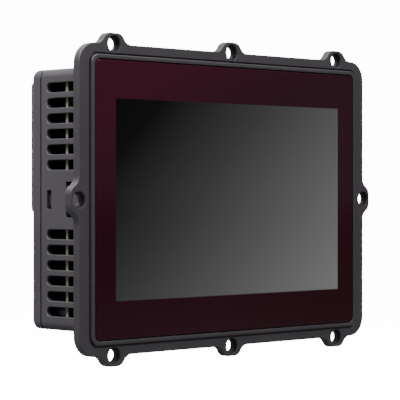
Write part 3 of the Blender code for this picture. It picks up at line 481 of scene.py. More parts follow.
# the housing finish carries painted shade on its inner faces
HOUSING_FINISH = moulded("housing_finish", (0.040, 0.0355, 0.042), (0.047, 0.042, 0.049), 0.6, shade_painted_inside=True)
BLACK_FINISH = moulded("black_plastic_finish", (0.010, 0.010, 0.011), (0.016, 0.016, 0.017), 0.45, 1800.0)
GREY_FINISH = moulded("grey_plastic_finish", (0.10, 0.10, 0.105), (0.14, 0.14, 0.145), 0.5, 1800.0)
CREAM_FINISH = moulded("cream_plastic_finish", (0.5, 0.47, 0.38), (0.58, 0.55, 0.46), 0.5, 1800.0)
GREEN_FINISH = moulded("terminal_green_finish", (0.010, 0.16, 0.04), (0.016, 0.2, 0.055), 0.42, 1800.0)
RUBBER_FINISH = moulded("rubber_finish", (0.008, 0.008, 0.008), (0.013, 0.013, 0.013), 0.85, 1200.0)
FERRITE_FINISH = moulded("ferrite_finish", (0.03, 0.03, 0.032), (0.05, 0.05, 0.052), 0.7, 1500.0)
SHEET_FINISH = moulded("insulating_sheet_finish", (0.004, 0.004, 0.004), (0.007, 0.007, 0.007), 0.4, 900.0)
FILM_FINISH = moulded("ribbon_finish", (0.4, 0.25, 0.09), (0.5, 0.33, 0.13), 0.35, 700.0)
LABEL_FINISH = metal("label_finish", (0.55, 0.55, 0.56), 0.42, 300.0)
STEEL_FINISH = metal("steel_finish", (0.5, 0.5, 0.51), 0.3)
BRASS_FINISH = metal("brass_finish", (0.62, 0.46, 0.2), 0.32)
GOLD_FINISH = metal("contact_finish", (0.8, 0.58, 0.22), 0.25)
HEAT_SINK_FINISH = metal("heat_sink_finish", (0.07, 0.07, 0.075), 0.42)
BOARD_FINISH = board_material()
GLASS_FINISH = glass_material()


# ---------------------------------------------------------------- front

RIM_WIDTH = 1.9
RIM_RADIUS = 4.0
GROOVE_RADIUS = 4.6
GROOVE_WIDTH = 0.8
GLASS_GAP = 0.4
GLASS_RADIUS = 2.75
GLASS_FRONT_EDGE, GLASS_BACK_EDGE = 0.5, 0.3
FLANGE_FRONT = -FLANGE_THICKNESS
RIM_FRONT = bezel_low.y
GROOVE_FLOOR = -3.2
POCKET_FLOOR = -2.1
WINDOW_HALF = (81.5, 50.2)
WINDOW_RADIUS = 2.0
GASKET_INNER_HALF, GASKET_INNER_RADIUS = (89.0, 62.4), 3.0
GASKET_OUTER_HALF, GASKET_OUTER_RADIUS = (92.0, 65.4), 6.0
GASKET_FLOOR = -1.2
POST_X, POST_Z, POST_RADIUS, POST_TOP = 74.0, 53.9, 3.4, 19.4
TAB_X, SMALL_BOSS_RADIUS, SMALL_BOSS_TOP = 45.0, 2.8, 4.6
BOSS_ROOT = -1.0
INSERT_BORE = (2.7, 12.5, 21.0)
TAB_SCREW_BORE = (1.55, 0.5, 6.0)
FLANGE_FRONT_EDGE, FLANGE_BACK_EDGE = 0.45, 0.3
GROOVE_LIP = 0.1
RIM_OUTER_EDGE, RIM_INNER_EDGE = 0.5, 0.35
EAR_SEAT_EDGE, EAR_HOLE_EDGE = 0.12, 0.2
EAR_HOLE_STEPS = 48
POST_STEPS = 24


def corners(x, z):
    return [(side_x * x, side_z * z) for side_x in (-1, 1) for side_z in (-1, 1)]


def rounding(radius, steps=4):
    """(pull-back, drop) pairs down a quarter-round edge, from the face to the wall."""
    pairs = []
    for step in range(steps + 1):
        angle = math.radians(90 * step / steps)
        pairs.append((radius * (1 - math.sin(angle)), radius * (1 - math.cos(angle))))
    return pairs


def ring_loops(mesh, rings):
    return [(outline, loop(mesh, outline, depth)) for outline, depth in rings]


def chain(mesh, loops):
    for near, far in zip(loops, loops[1:]):
        wall(mesh, near[1], far[1])


def ear_bore(centre):
    """Rings down one stepped screw hole, with every edge broken."""
    seat_edge, hole_edge = rounding(EAR_SEAT_EDGE, 3), rounding(EAR_HOLE_EDGE, 2)
    rings = [(circle(EAR_SEAT_RADIUS + pull, centre, EAR_HOLE_STEPS), FLANGE_FRONT + drop)
             for pull, drop in seat_edge]
    rings += [(circle(EAR_SEAT_RADIUS, centre, EAR_HOLE_STEPS), EAR_SEAT_FLOOR)]
    rings += [(circle(EAR_HOLE_RADIUS + pull, centre, EAR_HOLE_STEPS), EAR_SEAT_FLOOR + drop)
              for pull, drop in hole_edge]
    rings += [(circle(EAR_HOLE_RADIUS + pull, centre, EAR_HOLE_STEPS), -drop)
              for pull, drop in reversed(hole_edge)]
    return rings


def posts_at(mesh, centres, radius, front, back):
    for centre in centres:
        line = circle(radius, centre, POST_STEPS)
        skin(mesh, [(line, front), (line, back)])


def make_bezel():
    """Flange with rounded edges and ears, groove, raised rim and glass pocket, and bosses behind."""
    pocket = inset(GLASS_HALF, -GLASS_GAP)
    rim = inset(pocket, -RIM_WIDTH)
    groove = inset(rim, -GROOVE_WIDTH)
    mesh = bmesh.new()
    edge = bezel_outline()
    outside = [(shrunk(edge, pull), FLANGE_FRONT + drop) for pull, drop in rounding(FLANGE_FRONT_EDGE)]
    outside += [(shrunk(edge, pull), -drop) for pull, drop in reversed(rounding(FLANGE_BACK_EDGE, 3))]
    outside = ring_loops(mesh, outside)
    chain(mesh, outside)

    mouth = rounded(*inset(groove, -GROOVE_LIP), GROOVE_RADIUS + GROOVE_LIP)
    groove_line = rounded(*groove, GROOVE_RADIUS)
    profile = [(mouth, FLANGE_FRONT), (groove_line, FLANGE_FRONT + GROOVE_LIP)]
    profile += [(groove_line, GROOVE_FLOOR), (rounded(*rim, RIM_RADIUS), GROOVE_FLOOR)]
    profile += [(rounded(*inset(rim, pull), RIM_RADIUS - pull), RIM_FRONT + drop)
                for pull, drop in reversed(rounding(RIM_OUTER_EDGE))]
    profile += [(rounded(*inset(pocket, -pull), GLASS_RADIUS + GLASS_GAP + pull), RIM_FRONT + drop)
                for pull, drop in rounding(RIM_INNER_EDGE)]
    window = rounded(*WINDOW_HALF, WINDOW_RADIUS)
    gasket_inner = rounded(*GASKET_INNER_HALF, GASKET_INNER_RADIUS)
    gasket_outer = rounded(*GASKET_OUTER_HALF, GASKET_OUTER_RADIUS)
    profile += [(rounded(*pocket, GLASS_RADIUS + GLASS_GAP), POCKET_FLOOR), (window, POCKET_FLOOR),
                (window, 0.0), (gasket_inner, 0.0), (gasket_inner, GASKET_FLOOR),
                (gasket_outer, GASKET_FLOOR), (gasket_outer, 0.0)]
    inside = ring_loops(mesh, profile)
    chain(mesh, inside)

    front_holes, back_holes = [], []
    for centre in ear_centres():
        bore = ring_loops(mesh, ear_bore(centre))
        chain(mesh, bore)
        front_holes.append(bore[0])
        back_holes.append(bore[-1])
    fill(mesh, outside[0], [inside[0]] + front_holes)
    fill(mesh, outside[-1], [inside[-1]] + back_holes)
    bezel = made("bezel_moulding", mesh, BEZEL_FINISH, node="front_bezel")

    bosses = bmesh.new()
    posts_at(bosses, corners(POST_X, POST_Z), POST_RADIUS, BOSS_ROOT, POST_TOP)
    posts_at(bosses, corners(TAB_X, POST_Z), SMALL_BOSS_RADIUS, BOSS_ROOT, SMALL_BOSS_TOP)
    combine(bezel, bosses, "UNION")
    bores = bmesh.new()
    posts_at(bores, corners(POST_X, POST_Z), *INSERT_BORE)
    posts_at(bores, corners(TAB_X, POST_Z), *TAB_SCREW_BORE)
    combine(bezel, bores, "DIFFERENCE")
    even_shading(bezel)


def make_glass():
    """Cover glass with a ground and polished edge."""
    mesh = bmesh.new()
    rings = [(rounded(*inset(GLASS_HALF, pull), GLASS_RADIUS - pull), glass_low.y + drop)
             for pull, drop in rounding(GLASS_FRONT_EDGE, 5)]
    rings += [(rounded(*inset(GLASS_HALF, pull), GLASS_RADIUS - pull), glass_high.y - drop)
              for pull, drop in reversed(rounding(GLASS_BACK_EDGE, 3))]
    skin(mesh, rings)
    even_shading(made("glass_cover", mesh, GLASS_FINISH, node="touch_glass"))


# ---------------------------------------------------------------- housing

WALL = 2.0
HOUSING_RADIUS = 4.0
SLOT_PITCH, SLOT_FIRST, SLOTS_PER_GROUP = 7.1, 15.9, 6
SLOT_MIDDLE, SLOT_HALF, SLOT_HEIGHT, SLOT_RADIUS = 19.7, 11.7, 4.4, 2.0
LATCH = (28.4, 31.4, 4.3)
CLAMP = (13.8, 18.1, 8.15)
TOP_LATCH_X = 40.0
LIP, SMALL_LIP = 0.3, 0.15
CUT_CORNER = 0.3
HOUSING_FRONT_EDGE, SEAM_EDGE = 0.3, 0.35
SOCKET_CLEARANCE = 0.4
BUTTON_HOLE_HALF, BUTTON_HOLE_RADIUS = 2.3, 2.29
SOCKETS = ("power_header", "serial_port", "usb_port", "ethernet_port_1", "ethernet_port_2", "memory_card")


def slot_centres():
    upper = [SLOT_FIRST + SLOT_PITCH * index for index in range(SLOTS_PER_GROUP)]
    return upper + [-height for height in upper]


def flared(mesh, half_u, half_v, radius, centre, surface, inward, axis, deep=WALL + 1.0, lip=LIP, steps=6):
    """A cutter with a chamfered mouth at the surface, going the inward way."""
    hole = rounded(half_u, half_v, radius, centre, steps)
    mouth = rounded(half_u + 2 * lip, half_v + 2 * lip, radius + 2 * lip, centre, steps)
    rings = [(mouth, surface - inward * lip), (hole, surface + inward * lip), (hole, surface + inward * deep)]
    skin(mesh, rings, axis)


def make_housing():
    """Four walls with softened edges, side vents, latch windows, clamp slots and socket cut-outs."""
    half = HOUSING_HALF
    inner = inset(half, WALL)
    rings = [(rounded(*inset(half, pull), HOUSING_RADIUS - pull), housing_low.y + drop)
             for pull, drop in rounding(HOUSING_FRONT_EDGE, 3)]
    rings += [(rounded(*inset(half, pull), HOUSING_RADIUS - pull), housing_high.y - drop)
              for pull, drop in reversed(rounding(SEAM_EDGE, 3))]
    inner_line = rounded(*inner, HOUSING_RADIUS / 2)
    rings += [(inner_line, housing_high.y), (inner_line, housing_low.y)]
    mesh = bmesh.new()
    skin(mesh, rings, closed=True)
    housing = made("housing_shell", mesh, HOUSING_FINISH, node="main_housing")

    cuts = bmesh.new()
    for side in (-1, 1):
        surface = side * half[0]
        for height in slot_centres():
            flared(cuts, SLOT_HALF, SLOT_HEIGHT / 2, SLOT_RADIUS, (SLOT_MIDDLE, height), surface, -side, "X")
        for near, far, reach in (LATCH, CLAMP):
            centre = ((near + far) / 2, 0.0)
            flared(cuts, (far - near) / 2, reach, CUT_CORNER, centre, surface, -side, "X", lip=SMALL_LIP)
    near, far, reach = LATCH
    for x in (-TOP_LATCH_X, TOP_LATCH_X):
        centre = (x, (near + far) / 2)
        flared(cuts, reach, (far - near) / 2, CUT_CORNER, centre, half[1], -1, "Z", lip=SMALL_LIP)
    for centre, opening, radius in bottom_openings():
        flared(cuts, *opening, radius, centre, -half[1], 1, "Z", lip=SMALL_LIP)
    combine(housing, cuts, "DIFFERENCE")
    even_shading(housing)


def middle_of(low, high):
    return (low.x + high.x) / 2, (low.y + high.y) / 2


def bottom_openings():
    """Centre, half size and corner radius, in X and Y, of each socket's cut-out, from its node."""
    openings = []
    for node in SOCKETS:
        low, high = box_mm(node)
        reach = ((high.x - low.x) / 2 + SOCKET_CLEARANCE, (high.y - low.y) / 2 + SOCKET_CLEARANCE)
        openings.append((middle_of(low, high), reach, CUT_CORNER))
    button = middle_of(*box_mm("reset_button"))
    openings.append((button, (BUTTON_HOLE_HALF, BUTTON_HOLE_HALF), BUTTON_HOLE_RADIUS))
    return openings


# ---------------------------------------------------------------- rear cover

COVER_ROUNDING = 3.5
COVER_FRONT = 36.3
COVER_BACK = 43.4
COVER_FLOOR = 41.4
TONGUE_FRONT = 34.8
TONGUE_WALL = 1.4
BLOCK_HALF = (84.4, 30.4)
BLOCK_CENTRE = (0.0, 24.3)
BLOCK_BASE = 41.6
BLOCK_ROUNDING = 1.5
BLOCK_FLOOR = 43.3
COVER_VENTS, COVER_VENT_PITCH, COVER_VENT_Z = 11, 10.0, 36.0
LABEL_CENTRE = (0.0, -28.0)
HOOK_HALF, HOOK_DEPTH = 3.6, (28.7, 35.4)
NOSE_HALF, NOSE_DEPTH, NOSE_REACH = 2.4, (29.3, 30.9), 0.9
COUNTERBORE_RADIUS, COUNTERBORE_FLOOR = 2.75, 40.5
COVER_FIT = 0.3
COVER_INNER_RADIUS = 1.0
POST_FRONT = 21.6
OVERLAP = 0.6
COVER_BORE_RADIUS, COVER_BORE_FRONT = 1.8, 20.0
COVER_VENT_HALF, COVER_VENT_RADIUS, COVER_VENT_CUT = (1.5, 8.0), 1.4, 6.0
LABEL_RECESS_HALF, LABEL_RECESS_RADIUS, LABEL_RECESS_DEPTH = (30.0, 12.0), 1.0, 0.5
LABEL_LIP = 0.1
BLOCK_WALL = 4.0
BLOCK_POCKET_RADIUS = 1.0
CORNER_TIGHTENING = 0.6


def rolled_edge(half, radius, rounding_radius, back, centre=(0.0, 0.0), steps=9):
    """Rings that turn a wall through a quarter circle into a flat back."""
    return [(rounded(*inset(half, pull), radius - CORNER_TIGHTENING * pull, centre), back - drop)
            for pull, drop in reversed(rounding(rounding_radius, steps))]


def make_rear_cover():
    """Tray with rounded edges, a raised upper half, posts, snap hooks, vents and a label recess."""
    tongue = inset(HOUSING_HALF, WALL + COVER_FIT)
    tongue_line = rounded(*tongue, HOUSING_RADIUS / 2 - COVER_FIT)
    inner_line = rounded(*inset(tongue, TONGUE_WALL), COVER_INNER_RADIUS)
    rings = [(inner_line, COVER_FLOOR), (inner_line, TONGUE_FRONT), (tongue_line, TONGUE_FRONT),
             (tongue_line, COVER_FRONT)]
    rings += [(rounded(*inset(HOUSING_HALF, pull), HOUSING_RADIUS - pull), COVER_FRONT + drop)
              for pull, drop in rounding(SEAM_EDGE, 3)]
    rings += rolled_edge(HOUSING_HALF, HOUSING_RADIUS, COVER_ROUNDING, COVER_BACK)
    mesh = bmesh.new()
    skin(mesh, rings)
    cover = made("rear_cover_shell", mesh, HOUSING_FINISH, node="rear_cover")

    plateau = bmesh.new()
    radius = HOUSING_RADIUS / 2
    skin(plateau, [(rounded(*BLOCK_HALF, radius, BLOCK_CENTRE), BLOCK_BASE)]
         + rolled_edge(BLOCK_HALF, radius, BLOCK_ROUNDING, cover_high.y, BLOCK_CENTRE, 6))
    combine(cover, plateau, "UNION")
    posts = bmesh.new()
    posts_at(posts, corners(POST_X, POST_Z), POST_RADIUS, POST_FRONT, COVER_FLOOR + OVERLAP)
    for addition in (posts, *snap_hooks(tongue)):
        combine(cover, addition, "UNION")

    hollow = bmesh.new()
    pocket = rounded(*inset(BLOCK_HALF, BLOCK_WALL), BLOCK_POCKET_RADIUS, BLOCK_CENTRE)
    skin(hollow, [(pocket, COVER_FLOOR - 0.5), (pocket, BLOCK_FLOOR)])
    for post in corners(POST_X, POST_Z):
        bore = circle(COVER_BORE_RADIUS, post, POST_STEPS)
        counterbore = circle(COUNTERBORE_RADIUS, post, POST_STEPS)
        skin(hollow, [(bore, COVER_BORE_FRONT), (bore, COUNTERBORE_FLOOR),
                      (counterbore, COUNTERBORE_FLOOR), (counterbore, cover_high.y + 1)])
    combine(cover, hollow, "DIFFERENCE")
    cuts = bmesh.new()
    for index in range(COVER_VENTS):
        centre = (COVER_VENT_PITCH * (index - (COVER_VENTS - 1) / 2), COVER_VENT_Z)
        flared(cuts, *COVER_VENT_HALF, COVER_VENT_RADIUS, centre, cover_high.y, -1, "Y",
               deep=COVER_VENT_CUT)
    flared(cuts, *LABEL_RECESS_HALF, LABEL_RECESS_RADIUS, LABEL_CENTRE, COVER_BACK, -1, "Y",
           deep=LABEL_RECESS_DEPTH, lip=LABEL_LIP)
    combine(cover, cuts, "DIFFERENCE")
    even_shading(cover)


def snap_hooks(tongue):
    """Hook arms and their noses: one pair on each side wall and two along the top."""
    arms, noses = bmesh.new(), bmesh.new()
    near, far = HOOK_DEPTH
    nose_near, nose_far = NOSE_DEPTH
    for side in (-1, 1):
        between(arms, (side * (tongue[0] - TONGUE_WALL), near, -HOOK_HALF),
                (side * tongue[0], far, HOOK_HALF))
        between(noses, (side * (tongue[0] - OVERLAP), nose_near, -NOSE_HALF),
                (side * (tongue[0] + NOSE_REACH), nose_far, NOSE_HALF))
    for x in (-TOP_LATCH_X, TOP_LATCH_X):
        between(arms, (x - HOOK_HALF, near, tongue[1] - TONGUE_WALL), (x + HOOK_HALF, far, tongue[1]))
        between(noses, (x - NOSE_HALF, nose_near, tongue[1] - OVERLAP),
                (x + NOSE_HALF, nose_far, tongue[1] + NOSE_REACH))
    return arms, noses


def between(mesh, one, other):
    low = [min(pair) for pair in zip(one, other)]
    high = [max(pair) for pair in zip(one, other)]
    block(mesh, low, high)


# ---------------------------------------------------------------- inside and underside

SHEET_HALF = (83.0, 49.0)
SHEET_CENTRE = (0.0, -8.0)
SHEET_FRONT, SHEET_BACK = 19.48, 19.62
SHEET_RADIUS = 1.0
BOARD_SCREW_X, BOARD_SCREW_Z, BOARD_SCREW_CLEARANCE = 62.0, 38.0, 1.8
POST_CLEARANCE = 2.0
SHEET_HOLE_STEPS = 20


def make_insulating_sheet():
    """Thin black sheet on the front of the board, with clearance holes for its screws."""
    mesh = bmesh.new()
    lines = [rounded(*SHEET_HALF, SHEET_RADIUS, SHEET_CENTRE, steps=4)]
    for centre in corners(BOARD_SCREW_X, BOARD_SCREW_Z):
        lines.append(circle(BOARD_SCREW_CLEARANCE, centre, SHEET_HOLE_STEPS))
    for side in (-1, 1):
        lines.append(circle(POST_CLEARANCE, (side * POST_X, -POST_Z), SHEET_HOLE_STEPS))
    front = [(line, loop(mesh, line, SHEET_FRONT)) for line in lines]
    back = [(line, loop(mesh, line, SHEET_BACK)) for line in lines]
    for near, far in zip(front, back):
        wall(mesh, near[1], far[1])
    fill(mesh, front[0], front[1:])
    fill(mesh, back[0], back[1:])
    made("insulating_sheet", mesh, SHEET_FINISH)


SMALLEST_SHARP_ANGLE = math.radians(32)


def softened(node, width, finish, body):
    """Replace a CAD node by the same shape with its sharp edges rounded off."""
    mesh = bmesh.new()
    mesh.from_mesh(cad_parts[node].data)
    bmesh.ops.remove_doubles(mesh, verts=mesh.verts, dist=1e-6)
    bmesh.ops.dissolve_limit(mesh, angle_limit=math.radians(1), verts=mesh.verts, edges=mesh.edges)
    sharp = [edge for edge in mesh.edges
             if edge.is_manifold and edge.calc_face_angle() > SMALLEST_SHARP_ANGLE]
    bmesh.ops.bevel(mesh, geom=sharp, offset=width * MM, offset_type="OFFSET", segments=2, profile=0.6,
                    affect="EDGES", clamp_overlap=True)
    for face in mesh.faces:
        face.material_index = 0
    even_shading(made(f"{node}_fine", mesh, finish, body=body, node=node))


SOFTENED = (
    ("power_header", 0.15, GREEN_FINISH, PANEL),
    ("power_plug", 0.3, GREEN_FINISH, "plug"),
    ("reset_button", 0.25, GREY_FINISH, "button"),
    ("memory_card", 0.15, BLACK_FINISH, "card"),
    ("card_slot", 0.12, STEEL_FINISH, PANEL),
    ("usb_port", 0.08, STEEL_FINISH, PANEL),
    ("ethernet_port_1", 0.2, STEEL_FINISH, PANEL),
    ("ethernet_port_2", 0.2, STEEL_FINISH, PANEL),
    ("jack_screw_1", 0.15, STEEL_FINISH, PANEL),
    ("jack_screw_2", 0.15, STEEL_FINISH, PANEL),
    ("heat_sink", 0.15, HEAT_SINK_FINISH, PANEL),
    ("label_plate", 0.1, LABEL_FINISH, PANEL),
)


def soften_nodes():
    for node, width, finish, body in SOFTENED:
        softened(node, width, finish, body)


PIN_PITCH = 2.77
SERIAL_MOUTH = -65.0
SERIAL_PLATE_FACE, SERIAL_PLATE_BACK = -59.3, -58.2
SHELL_WALL = 0.45
D_WIDE_HALF, D_NARROW_HALF, D_DEPTH_HALF, D_RADIUS = 8.4, 7.2, 4.1, 1.5
D_CORNER_STEPS = 6
PIN_ROWS = ((5, -1.4), (4, 1.4))
PIN_RADIUS, PIN_HOLE_DEPTH, PIN_STEPS = 0.62, 3.0, 20
SERIAL_SCREW_X, SERIAL_SCREW_RADIUS = 12.5, 1.8
PLATE_RADIUS, PLATE_EDGE = 1.0, 0.1
SHELL_EDGE = 0.15
INSULATOR_GAP, INSULATOR_SET_BACK, INSULATOR_BACK = 0.08, 0.5, 11.0


def d_outline(trim_in, centre):
    """The D shape of the serial connector's shell, this far in from its outside."""
    half_wide, half_narrow = D_WIDE_HALF - trim_in, D_NARROW_HALF - trim_in
    half_depth = D_DEPTH_HALF - trim_in
    points = [(half_narrow, half_depth), (-half_narrow, half_depth),
              (-half_wide, -half_depth), (half_wide, -half_depth)]
    radius = D_RADIUS - trim_in
    outline = []
    for index, corner in enumerate(points):
        here = Vector(corner)
        before = (Vector(points[index - 1]) - here).normalized() * radius
        after = (Vector(points[(index + 1) % 4]) - here).normalized() * radius
        for step in range(D_CORNER_STEPS + 1):
            share = step / D_CORNER_STEPS
            place = here + before * (1 - share) ** 2 + after * share ** 2
            outline.append((centre[0] + place.x, centre[1] + place.y))
    return outline


def upright_loops(mesh, rings):
    return [(line, loop(mesh, line, depth, "Z")) for line, depth in rings]


def make_serial_shell(low, high, centre):
    """Drawn steel shell with its flange plate and two screw holes."""
    outer, inner = d_outline(0.0, centre), d_outline(SHELL_WALL, centre)
    plate = rounded((high.x - low.x) / 2, (high.y - low.y) / 2, PLATE_RADIUS, centre, steps=6)
    mesh = bmesh.new()
    edge = upright_loops(mesh, [(plate, SERIAL_PLATE_BACK), (plate, SERIAL_PLATE_FACE + PLATE_EDGE),
                                (shrunk(plate, PLATE_EDGE), SERIAL_PLATE_FACE)])
    chain(mesh, edge)
    barrel = upright_loops(mesh, [
        (outer, SERIAL_PLATE_FACE), (outer, SERIAL_MOUTH + SHELL_EDGE),
        (shrunk(outer, 0.12), SERIAL_MOUTH), (shrunk(inner, -0.1), SERIAL_MOUTH),
        (inner, SERIAL_MOUTH + SHELL_EDGE), (inner, SERIAL_PLATE_BACK)])
    chain(mesh, barrel)
    holes = []
    for side in (-1, 1):
        line = circle(SERIAL_SCREW_RADIUS, (centre[0] + side * SERIAL_SCREW_X, centre[1]), 24)
        hole = upright_loops(mesh, [(line, SERIAL_PLATE_FACE), (line, SERIAL_PLATE_BACK)])
        chain(mesh, hole)
        holes.append(hole)
    fill(mesh, edge[-1], [barrel[0]] + [hole[0] for hole in holes])
    fill(mesh, edge[0], [barrel[-1]] + [hole[-1] for hole in holes])
    made("serial_shell", mesh, STEEL_FINISH, node="serial_port")


def make_serial_insulator(centre):
    """Black insulator with nine sockets."""
    face = SERIAL_MOUTH + INSULATOR_SET_BACK
    body = d_outline(SHELL_WALL + INSULATOR_GAP, centre)
    mesh = bmesh.new()
    skin(mesh, [(body, SERIAL_PLATE_BACK + INSULATOR_BACK), (body, face + SHELL_EDGE),
                (shrunk(body, SHELL_EDGE), face)], "Z")
    insulator = made("serial_insulator", mesh, BLACK_FINISH)
    holes = bmesh.new()
    for count, offset in PIN_ROWS:
        for index in range(count):
            x = centre[0] + PIN_PITCH * (index - (count - 1) / 2)
            line = circle(PIN_RADIUS, (x, centre[1] + offset), PIN_STEPS)
            skin(holes, [(line, face - 1.0), (line, face + PIN_HOLE_DEPTH)], "Z")
    combine(insulator, holes, "DIFFERENCE")


def make_serial_port():
    low, high = box_mm("serial_port")
    centre = middle_of(low, high)
    make_serial_shell(low, high, centre)
    make_serial_insulator(centre)


CONTACT_PITCH, CONTACTS, CONTACT_HALF = 1.02, 8, 0.2
LENS_X, LENS_INSET, LENS_HALF, LENS_EDGE = 6.0, 1.9, (1.3, 1.1), 0.15
USB_PITCH, USB_CONTACTS, USB_CONTACT_HALF, USB_TONGUE_FRONT = 2.4, 4, 0.5, 25.3
LENS_GREEN = moulded("green_lens_finish", (0.02, 0.25, 0.05), (0.03, 0.3, 0.07), 0.2, 300.0)
LENS_AMBER = moulded("amber_lens_finish", (0.5, 0.2, 0.01), (0.55, 0.25, 0.02), 0.2, 300.0)


def make_network_details():
    """Spring contacts inside each network socket and two indicator lenses on its face."""
    for number in (1, 2):
        low, high = box_mm(f"ethernet_port_{number}")
        x, face = (low.x + high.x) / 2, low.z
        mesh = bmesh.new()
        for index in range(CONTACTS):
            middle = x + CONTACT_PITCH * (index - (CONTACTS - 1) / 2)
            line = [(high.y - 7.4, face + 3.0), (high.y - 9.9, face + 11.5), (high.y - 10.2, face + 11.4),
                    (high.y - 7.8, face + 2.9)]
            skin(mesh, [(line, middle - CONTACT_HALF), (line, middle + CONTACT_HALF)], "X")
        made(f"network_contacts_{number}", mesh, GOLD_FINISH)
        for side, name, finish in ((-1, "left", LENS_GREEN), (1, "right", LENS_AMBER)):
            mesh = bmesh.new()
            centre = (x + side * LENS_X, high.y - LENS_INSET)
            full = rounded(*LENS_HALF, 0.3, centre, 4)
            small = rounded(*inset(LENS_HALF, LENS_EDGE), 0.25, centre, 4)
            skin(mesh, [(full, face + 0.2), (full, face - 0.12), (small, face - 0.25)], "Z")
            made(f"network_lens_{number}_{name}", mesh, finish)


def make_usb_contacts():
    """Four flat contacts on the tongue of the USB socket."""
    low, high = box_mm("usb_port")
    mesh = bmesh.new()
    for index in range(USB_CONTACTS):
        x = (low.x + high.x) / 2 + USB_PITCH * (index - (USB_CONTACTS - 1) / 2)
        block(mesh, (x - USB_CONTACT_HALF, USB_TONGUE_FRONT - 0.12, low.z + 1.6),
              (x + USB_CONTACT_HALF, USB_TONGUE_FRONT + 0.1, low.z + 9.0), 0.06)
    made("usb_contacts", mesh, GOLD_FINISH)


# ---------------------------------------------------------------- finishes on the CAD's own nodes

NODE_FINISHES = (
    ("bracket_screw", STEEL_FINISH), ("board_screw", STEEL_FINISH), ("case_screw", STEEL_FINISH),
    ("terminal_screw", STEEL_FINISH), ("lcd_bracket", STEEL_FINISH), ("backlight_unit", STEEL_FINISH),
    ("coin_cell", STEEL_FINISH), ("standoff", BRASS_FINISH), ("threaded_insert", BRASS_FINISH),
    ("capacitor", LABEL_FINISH), ("touch_sensor", BLACK_FINISH), ("lcd_panel", BLACK_FINISH),
    ("processor", BLACK_FINISH), ("memory_chip", BLACK_FINISH), ("buzzer", BLACK_FINISH),
    ("battery_holder", BLACK_FINISH), ("reset_switch", BLACK_FINISH), ("glass_adhesive", RUBBER_FINISH),
    ("panel_gasket", RUBBER_FINISH), ("inductor", FERRITE_FINISH), ("display_connector", CREAM_FINISH),
    ("display_ribbon", FILM_FINISH), ("main_board", BOARD_FINISH),
)


def finish_nodes():
    """Give every carried-over node its material."""
    for name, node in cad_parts.items():
        for prefix, finish in NODE_FINISHES:
            if name.startswith(prefix):
                node.data.materials.clear()
                node.data.materials.append(finish)


# ---------------------------------------------------------------- stage, lights and camera

FLOOR_DROP = 0.045
FLOOR_Z = bezel_low.z * MM - FLOOR_DROP    # clear of the plug and the card when they are pulled out


def make_stage():
    """Pale floor: plain white to the camera, and duller to everything else, like flagged paper."""
    mesh = bmesh.new()
    bmesh.ops.create_grid(mesh, x_segments=1, y_segments=1, size=12.0)
    data = bpy.data.meshes.new("floor")
    mesh.to_mesh(data)
    mesh.free()
    floor = bpy.data.objects.new("floor", data)
    floor.location.z = FLOOR_Z
    bpy.context.scene.collection.objects.link(floor)
    material = bpy.data.materials.new("floor_finish")
    material.use_nodes = True
    tree = material.node_tree
    shader = tree.nodes["Principled BSDF"]
    shader.inputs["Base Color"].default_value = (0.9, 0.9, 0.9, 1.0)
    shader.inputs["Roughness"].default_value = 0.9
    dull = tree.nodes.new("ShaderNodeBsdfDiffuse")
    dull.inputs["Color"].default_value = (*FLOOR_BOUNCE, 1.0)
    glow = tree.nodes.new("ShaderNodeEmission")
    glow.inputs["Strength"].default_value = BACKDROP_GLOW
    bright = tree.nodes.new("ShaderNodeAddShader")
    tree.links.new(shader.outputs["BSDF"], bright.inputs[0])
    tree.links.new(glow.outputs["Emission"], bright.inputs[1])
    path = tree.nodes.new("ShaderNodeLightPath")
    mix = tree.nodes.new("ShaderNodeMixShader")
    tree.links.new(path.outputs["Is Camera Ray"], mix.inputs["Fac"])
    tree.links.new(dull.outputs["BSDF"], mix.inputs[1])
    tree.links.new(bright.outputs["Shader"], mix.inputs[2])
    tree.links.new(mix.outputs["Shader"], tree.nodes["Material Output"].inputs["Surface"])
    data.materials.append(material)


BACKDROP_GLOW = 14.0
FLOOR_BOUNCE = (0.15, 0.15, 0.15)
AMBIENT = 0.3


def make_world():
    """White behind the object, and a low even light from every side."""
    world = bpy.data.worlds.new("studio")
    bpy.context.scene.world = world
    world.use_nodes = True
    tree = world.node_tree
    background = tree.nodes["Background"]
    background.inputs["Color"].default_value = (1.0, 1.0, 1.0, 1.0)
    path = tree.nodes.new("ShaderNodeLightPath")
    strength = tree.nodes.new("ShaderNodeMapRange")
    strength.inputs["To Min"].default_value = AMBIENT
    strength.inputs["To Max"].default_value = BACKDROP_GLOW
    tree.links.new(path.outputs["Is Camera Ray"], strength.inputs["Value"])
    tree.links.new(strength.outputs["Result"], background.inputs["Strength"])


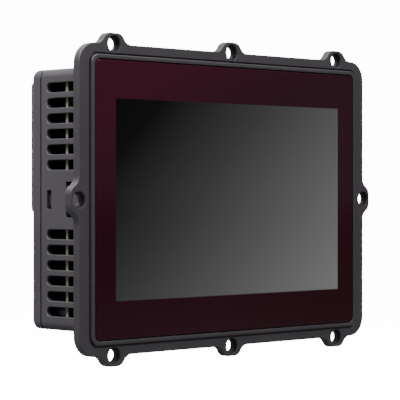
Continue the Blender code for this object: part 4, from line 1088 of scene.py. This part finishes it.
def make_light(name, place, target, size, power):
    """A rectangular soft box: place, target and size in metres, power in watts."""
    light = bpy.data.lights.new(name, "AREA")
    light.shape = "RECTANGLE"
    light.size, light.size_y = size
    light.energy = power
    lamp = bpy.data.objects.new(name, light)
    lamp.location = place
    lamp.rotation_euler = (Vector(target) - Vector(place)).to_track_quat("-Z", "Y").to_euler()
    bpy.context.scene.collection.objects.link(lamp)


LIGHTS = (
    ("key", (-0.42, -0.03, 0.46), (-0.05, 0.0, 0.0), (0.35, 0.35), 7.6),
    ("fill", (0.21, -0.6, 0.66), (0.0, 0.0, 0.0), (0.5, 0.4), 7.4),
    ("top", (0.05, 0.1, 0.9), (0.0, 0.0, 0.0), (0.8, 0.5), 8.2),
    ("rear", (0.12, 0.9, 0.45), (0.0, 0.0, 0.0), (0.6, 0.5), 6.0),
)


YAW = math.radians(45)
FOCAL_IN_WIDTHS = 4.624          # focal length over the image width
CENTRE_DEPTH = 887.0
CENTRE_RIGHT = 15.37
EYE_HEIGHT = 3.8
PITCH = math.radians(0.267)


def make_camera():
    """Camera square to the left front corner at eye height, looking level but for a slight tilt."""
    forward = Vector((math.sin(YAW), math.cos(YAW), 0.0))
    right = Vector((math.cos(YAW), -math.sin(YAW), 0.0))
    face = Vector((0.0, FLANGE_FRONT, 0.0))
    eye = face - forward * CENTRE_DEPTH - right * CENTRE_RIGHT
    eye.z = EYE_HEIGHT
    data = bpy.data.cameras.new("camera")
    data.sensor_width = 36.0
    data.lens = FOCAL_IN_WIDTHS * data.sensor_width
    data.clip_end = 100.0
    camera = bpy.data.objects.new("camera", data)
    camera.location = eye * MM
    camera.rotation_euler = (math.radians(90) - PITCH, 0.0, -YAW)
    bpy.context.scene.collection.objects.link(camera)
    bpy.context.scene.camera = camera


make_camera()
make_stage()
make_world()
for light in LIGHTS:
    make_light(*light)
finish_nodes()
make_bezel()
make_glass()
make_housing()
make_rear_cover()
make_insulating_sheet()
soften_nodes()
make_serial_port()
make_network_details()
make_usb_contacts()
